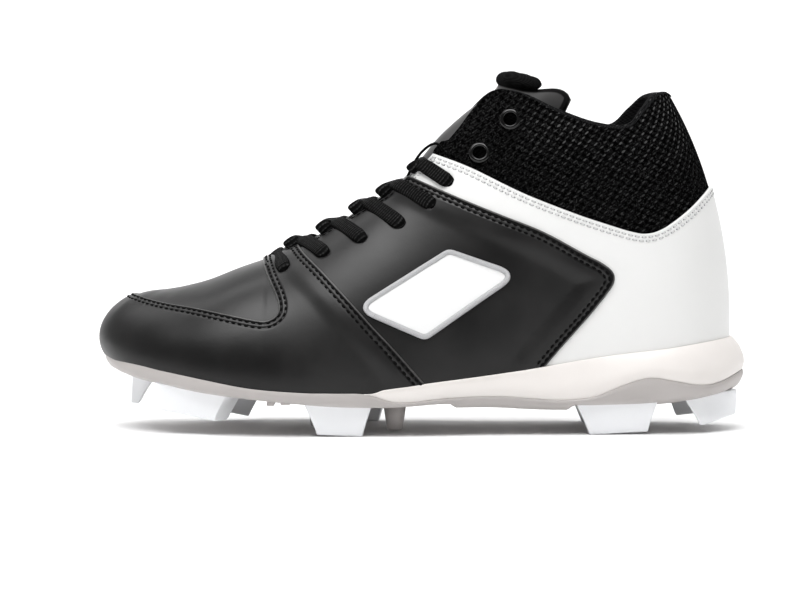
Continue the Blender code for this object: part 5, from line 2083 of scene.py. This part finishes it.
    def _rib(self, bm: BMesh, foot: Array, x: float, length: float, depth: float) -> None:
        """A cross rib under the forefoot."""
        half = len(foot) // 2
        low = float(np.interp(x, foot[: half + 1, 0], foot[: half + 1, 1])) + self.rib_inset
        high = float(np.interp(x, foot[::-1][: half + 1, 0], foot[::-1][: half + 1, 1])) - self.rib_inset
        tall = self.seat + depth
        place = Matrix.Translation((x, (low + high) / 2, self.bottom(x) + self.seat - tall / 2))
        size = Matrix.Diagonal((length, high - low, tall, 1.0))
        made = bmesh.ops.create_cube(bm, size=1.0, matrix=place @ size)
        edges = list({e for v in made["verts"] for e in v.link_edges})
        round_edges(bm, edges, self.rib_round, 3)

    def _floor(self, foot: Array, low: Array) -> Array:
        """Height of the midsole's footbed."""
        sunk = self.footbed * np.clip((foot[:, 0] - self.midsole_from) / self.footbed_ramp, 0, 1)
        return np.maximum(foot[:, 2] - self.gap - sunk, low + self.footbed_least)

    def _midsole(self, foot: Array, out: Array) -> None:
        """The midsole, from a thin edge under the ball to the deep heel cup."""
        _, _, wall_top, flare, _ = self.profile(foot[:, 0]).T
        x = foot[:, 0]
        low = np.minimum(wall_top + self._lip(x) + 0.05, foot[:, 2] + 0.45)
        crown = self.crown[0] + self.crown[1] * smoothstep(*self.crown_from, x)
        deep = smoothstep(self.midsole_from, self.midsole_from + self.wedge, x)
        tall = 0.08 + (foot[:, 2] + crown - low) * deep
        rim = low + tall
        full = np.clip(tall / self.full_height, 0, 1)
        wall = self._rounded(self._loops(foot, out, [
            (flare - 1.4, low),
            (flare - 0.25, low + 0.02 * tall),
            (flare + 0.5 * full, low + 0.33 * tall),
            (flare - 0.4 * (flare - self.rim_out) * full, low + 0.75 * tall),
            (np.minimum(self.rim_out, flare) + 0.1, rim - 0.35),
            (np.minimum(self.rim_out, flare) - 0.45, rim),
        ]), 5)
        inner = self._loops(foot, out, [
            (-self.rim_in, rim - 0.3),
            (-self.rim_in - 0.8, self._floor(foot, low)),
        ])
        rows = self._to_middle(wall[0], (0.0, 0.4, 0.8)) + wall + inner
        rows += self._to_middle(inner[-1], (0.8, 0.4, 0.0))
        keep = x >= self.midsole_from
        bm = skin_of([row[keep] for row in rows], filled=True)
        make_piece(bm, "midsole_foam", CREAM_FOAM, ("midsole",))

    def _liner(self, foot: Array, out: Array) -> None:
        """The sock liner inside the upper."""
        _, _, wall_top, _, _ = self.profile(foot[:, 0]).T
        behind = np.clip((foot[:, 0] - self.liner_rear[0]) / self.liner_rear[1], 0, 1)
        inset = -self.liner_inset[0] - behind * self.liner_inset[1]
        low = np.minimum(wall_top + self.gap, foot[:, 2] - 0.9)
        front = np.maximum(wall_top, foot[:, 2] - self.gap)
        floor = np.where(foot[:, 0] < self.midsole_from, front, self._floor(foot, low)) + self.gap
        edge = self._loops(foot, out, [
            (inset, floor),
            (inset, floor + 0.6 * self.liner),
            (inset - 0.35, floor + 0.88 * self.liner),
            (inset - 1.2, floor + self.liner),
        ])
        rows = self._to_middle(edge[0], (0.0, 0.5)) + edge
        rows += self._to_middle(edge[-1], np.linspace(0.95, 0.0, 12))
        make_piece(skin_of(rows), "insole_cloth", INSOLE_CLOTH, ("insole",))


@dataclass
class Studs:
    """The white moulded studs."""

    soles: Soles
    blades: tuple[StudBlade, ...] = STUD_BLADES
    seat: float = -1.6
    round_mm: float = 0.7
    round_cuts: int = 3
    sharp_deg: float = 35.0
    flare: float = 1.12
    cuts: int = 6

    def build(self) -> None:
        """Makes each stud."""
        for blade in self.blades:
            self._stud(blade)

    def _base_line(self, front: float, rear: float) -> Pair:
        """Heights of a stud's base at its two ends, just under the sole."""
        span = np.linspace(front, rear, 9)
        under = self.soles.profile(span)[:, 1] - self.seat
        straight = np.linspace(under[0], under[-1], 9)
        drop = max(0.0, float(np.max(straight - under)))
        return float(under[0]) - drop, float(under[-1]) - drop

    def _stud(self, blade: StudBlade) -> None:
        """One stud: a block that narrows to its tip and flares a little at its base."""
        front_z, rear_z = self._base_line(blade.base_front, blade.base_rear)
        run = unit(np.array([blade.base_rear - blade.base_front, blade.y_rear - blade.y_front]))
        across = np.array([-run[1], run[0]])
        bm = bmesh.new()
        bmesh.ops.create_cube(bm, size=2.0)
        upright = [e for e in bm.edges if abs(e.verts[0].co.z - e.verts[1].co.z) > 1]
        bmesh.ops.subdivide_edges(bm, edges=upright, cuts=self.cuts)
        for v in bm.verts:
            end, hand, level = (v.co.x + 1) / 2, v.co.y, (v.co.z + 1) / 2
            share = level**self.flare
            ends = (
                (blade.tip_front, blade.base_front, blade.y_front, blade.z_front, front_z),
                (blade.tip_rear, blade.base_rear, blade.y_rear, blade.z_rear, rear_z),
            )
            tip_x, base_x, y, tip_z, base_z = ends[round(end)]
            half = (blade.tip_w + (blade.base_w - blade.tip_w) * level) / 2
            plan = np.array([tip_x + (base_x - tip_x) * share, y]) + across * half * hand
            if hand * y < 0:
                plan[0] += (blade.front_lean, blade.rear_lean)[round(end)]
            v.co = (*plan, tip_z + (base_z - tip_z) * level)
        sharp = [e for e in bm.edges if e.calc_face_angle(0.0) > math.radians(self.sharp_deg)]
        round_edges(bm, sharp, self.round_mm, self.round_cuts, clamp=True)
        bmesh.ops.recalc_face_normals(bm, faces=bm.faces)
        make_piece(bm, f"stud_{blade.name}", WHITE_STUD, (f"cleat_{blade.name}",))


# Studio


@dataclass
class Studio:
    """Pale floor, soft lights and the camera at the photo's place."""

    eye: Place = (-0.009183, -1.398363, 0.132)
    tilt_deg: float = 3.09
    lens: float = 147.44
    sensor: float = 36.0
    air: Pair = (0.2, 0.52)
    floor_half: float = 6.0
    floor_run: Pair = (-3.0, 6.0)
    sweep: Pair = (2.0, 4.0)
    sweep_radius: float = 1.273
    lamps: tuple[Lamp, ...] = (
        Lamp("softbox", (-0.24, -0.52, 1.25), (-0.03, 0.0, 0.07), (1.0, 0.9), 20.0),
        Lamp("overhead", (0.5, 0.1, 1.6), (0.05, 0.0, 0.05), (1.0, 1.0), 5.0),
        Lamp("backdrop", (0.0, 1.0, 2.4), (0.0, 3.2, 0.7), (4.0, 1.5), 90.0),
    )

    def camera(self) -> None:
        """The camera at the lateral side, a little above the ground line."""
        data = bpy.data.cameras.new("photo_camera")
        data.lens = self.lens
        data.sensor_width = self.sensor
        data.sensor_fit = "HORIZONTAL"
        data.clip_end = 50.0
        camera = placed("photo_camera", data)
        camera.location = self.eye
        camera.rotation_euler = (math.radians(90 - self.tilt_deg), 0, 0)
        bpy.context.scene.camera = camera

    def floor(self) -> None:
        """A wide pale floor that sweeps up behind."""
        (front, rear), (start, end) = self.floor_run, self.sweep
        bm = bmesh.new()
        bmesh.ops.create_grid(bm, x_segments=2, y_segments=40, size=1.0)
        for v in bm.verts:
            run = (v.co.y + 1) / 2 * (rear - front) + front
            bend = max(0.0, min(1.0, (run - start) / (end - start))) * math.pi / 2
            back = min(run, start) + self.sweep_radius * math.sin(bend)
            rise = self.sweep_radius * (1 - math.cos(bend)) + max(0.0, run - end)
            v.co = (v.co.x * self.floor_half, back, rise)
        mesh = mesh_of(bm, "floor")
        paper = Sketch("pale_floor", grey(0.93), 0.9)
        paper.set("Roughness", paper.ramp(paper.noise(3.0), 0.3, 0.7, 0.85, 0.95))
        mesh.materials.append(paper.material)
        placed("floor", mesh)

    def light(self, lamp: Lamp) -> None:
        """One soft area light."""
        data = bpy.data.lights.new(lamp.name, "AREA")
        data.shape = "RECTANGLE"
        data.size, data.size_y = lamp.size
        data.energy = lamp.power
        made = placed(lamp.name, data)
        made.location = lamp.place
        made.rotation_euler = (Vector(lamp.aim) - Vector(lamp.place)).to_track_quat("-Z", "Y").to_euler()

    def build(self) -> None:
        """Sets the whole studio."""
        self.camera()
        self.floor()
        for lamp in self.lamps:
            self.light(lamp)
        self.sky()

    def sky(self) -> None:
        """White air that is dimmer from the front."""
        world = bpy.data.worlds.new("studio_air")
        world.use_nodes = True
        nodes, links = world.node_tree.nodes, world.node_tree.links
        air = nodes["Background"]
        air.inputs["Color"].default_value = (1.0, 1.0, 1.0, 1.0)
        way, dim = nodes.new("ShaderNodeSeparateXYZ"), nodes.new("ShaderNodeMapRange")
        links.new(nodes.new("ShaderNodeTexCoord").outputs["Generated"], way.inputs[0])
        links.new(way.outputs["Y"], dim.inputs["Value"])
        for name, value in zip(("From Min", "From Max", "To Min", "To Max"), (-1.0, 0.2, *self.air)):
            dim.inputs[name].default_value = value
        links.new(dim.outputs["Result"], air.inputs["Strength"])
        bpy.context.scene.world = world
        bpy.context.scene.view_settings.view_transform = "Standard"


def main() -> None:
    """Builds the studio and the shoe, piece by piece."""
    logging.basicConfig(level=logging.INFO, format="%(name)s: %(message)s")
    Studio().build()
    last = Last()
    Upper(last).build()
    Collar(last).build()
    RingEyelets(last).build()
    Tongue().build()
    Lacing(last).build()
    soles = Soles(last)
    soles.build()
    Studs(soles).build()


if __name__ == "__main__":
    main()
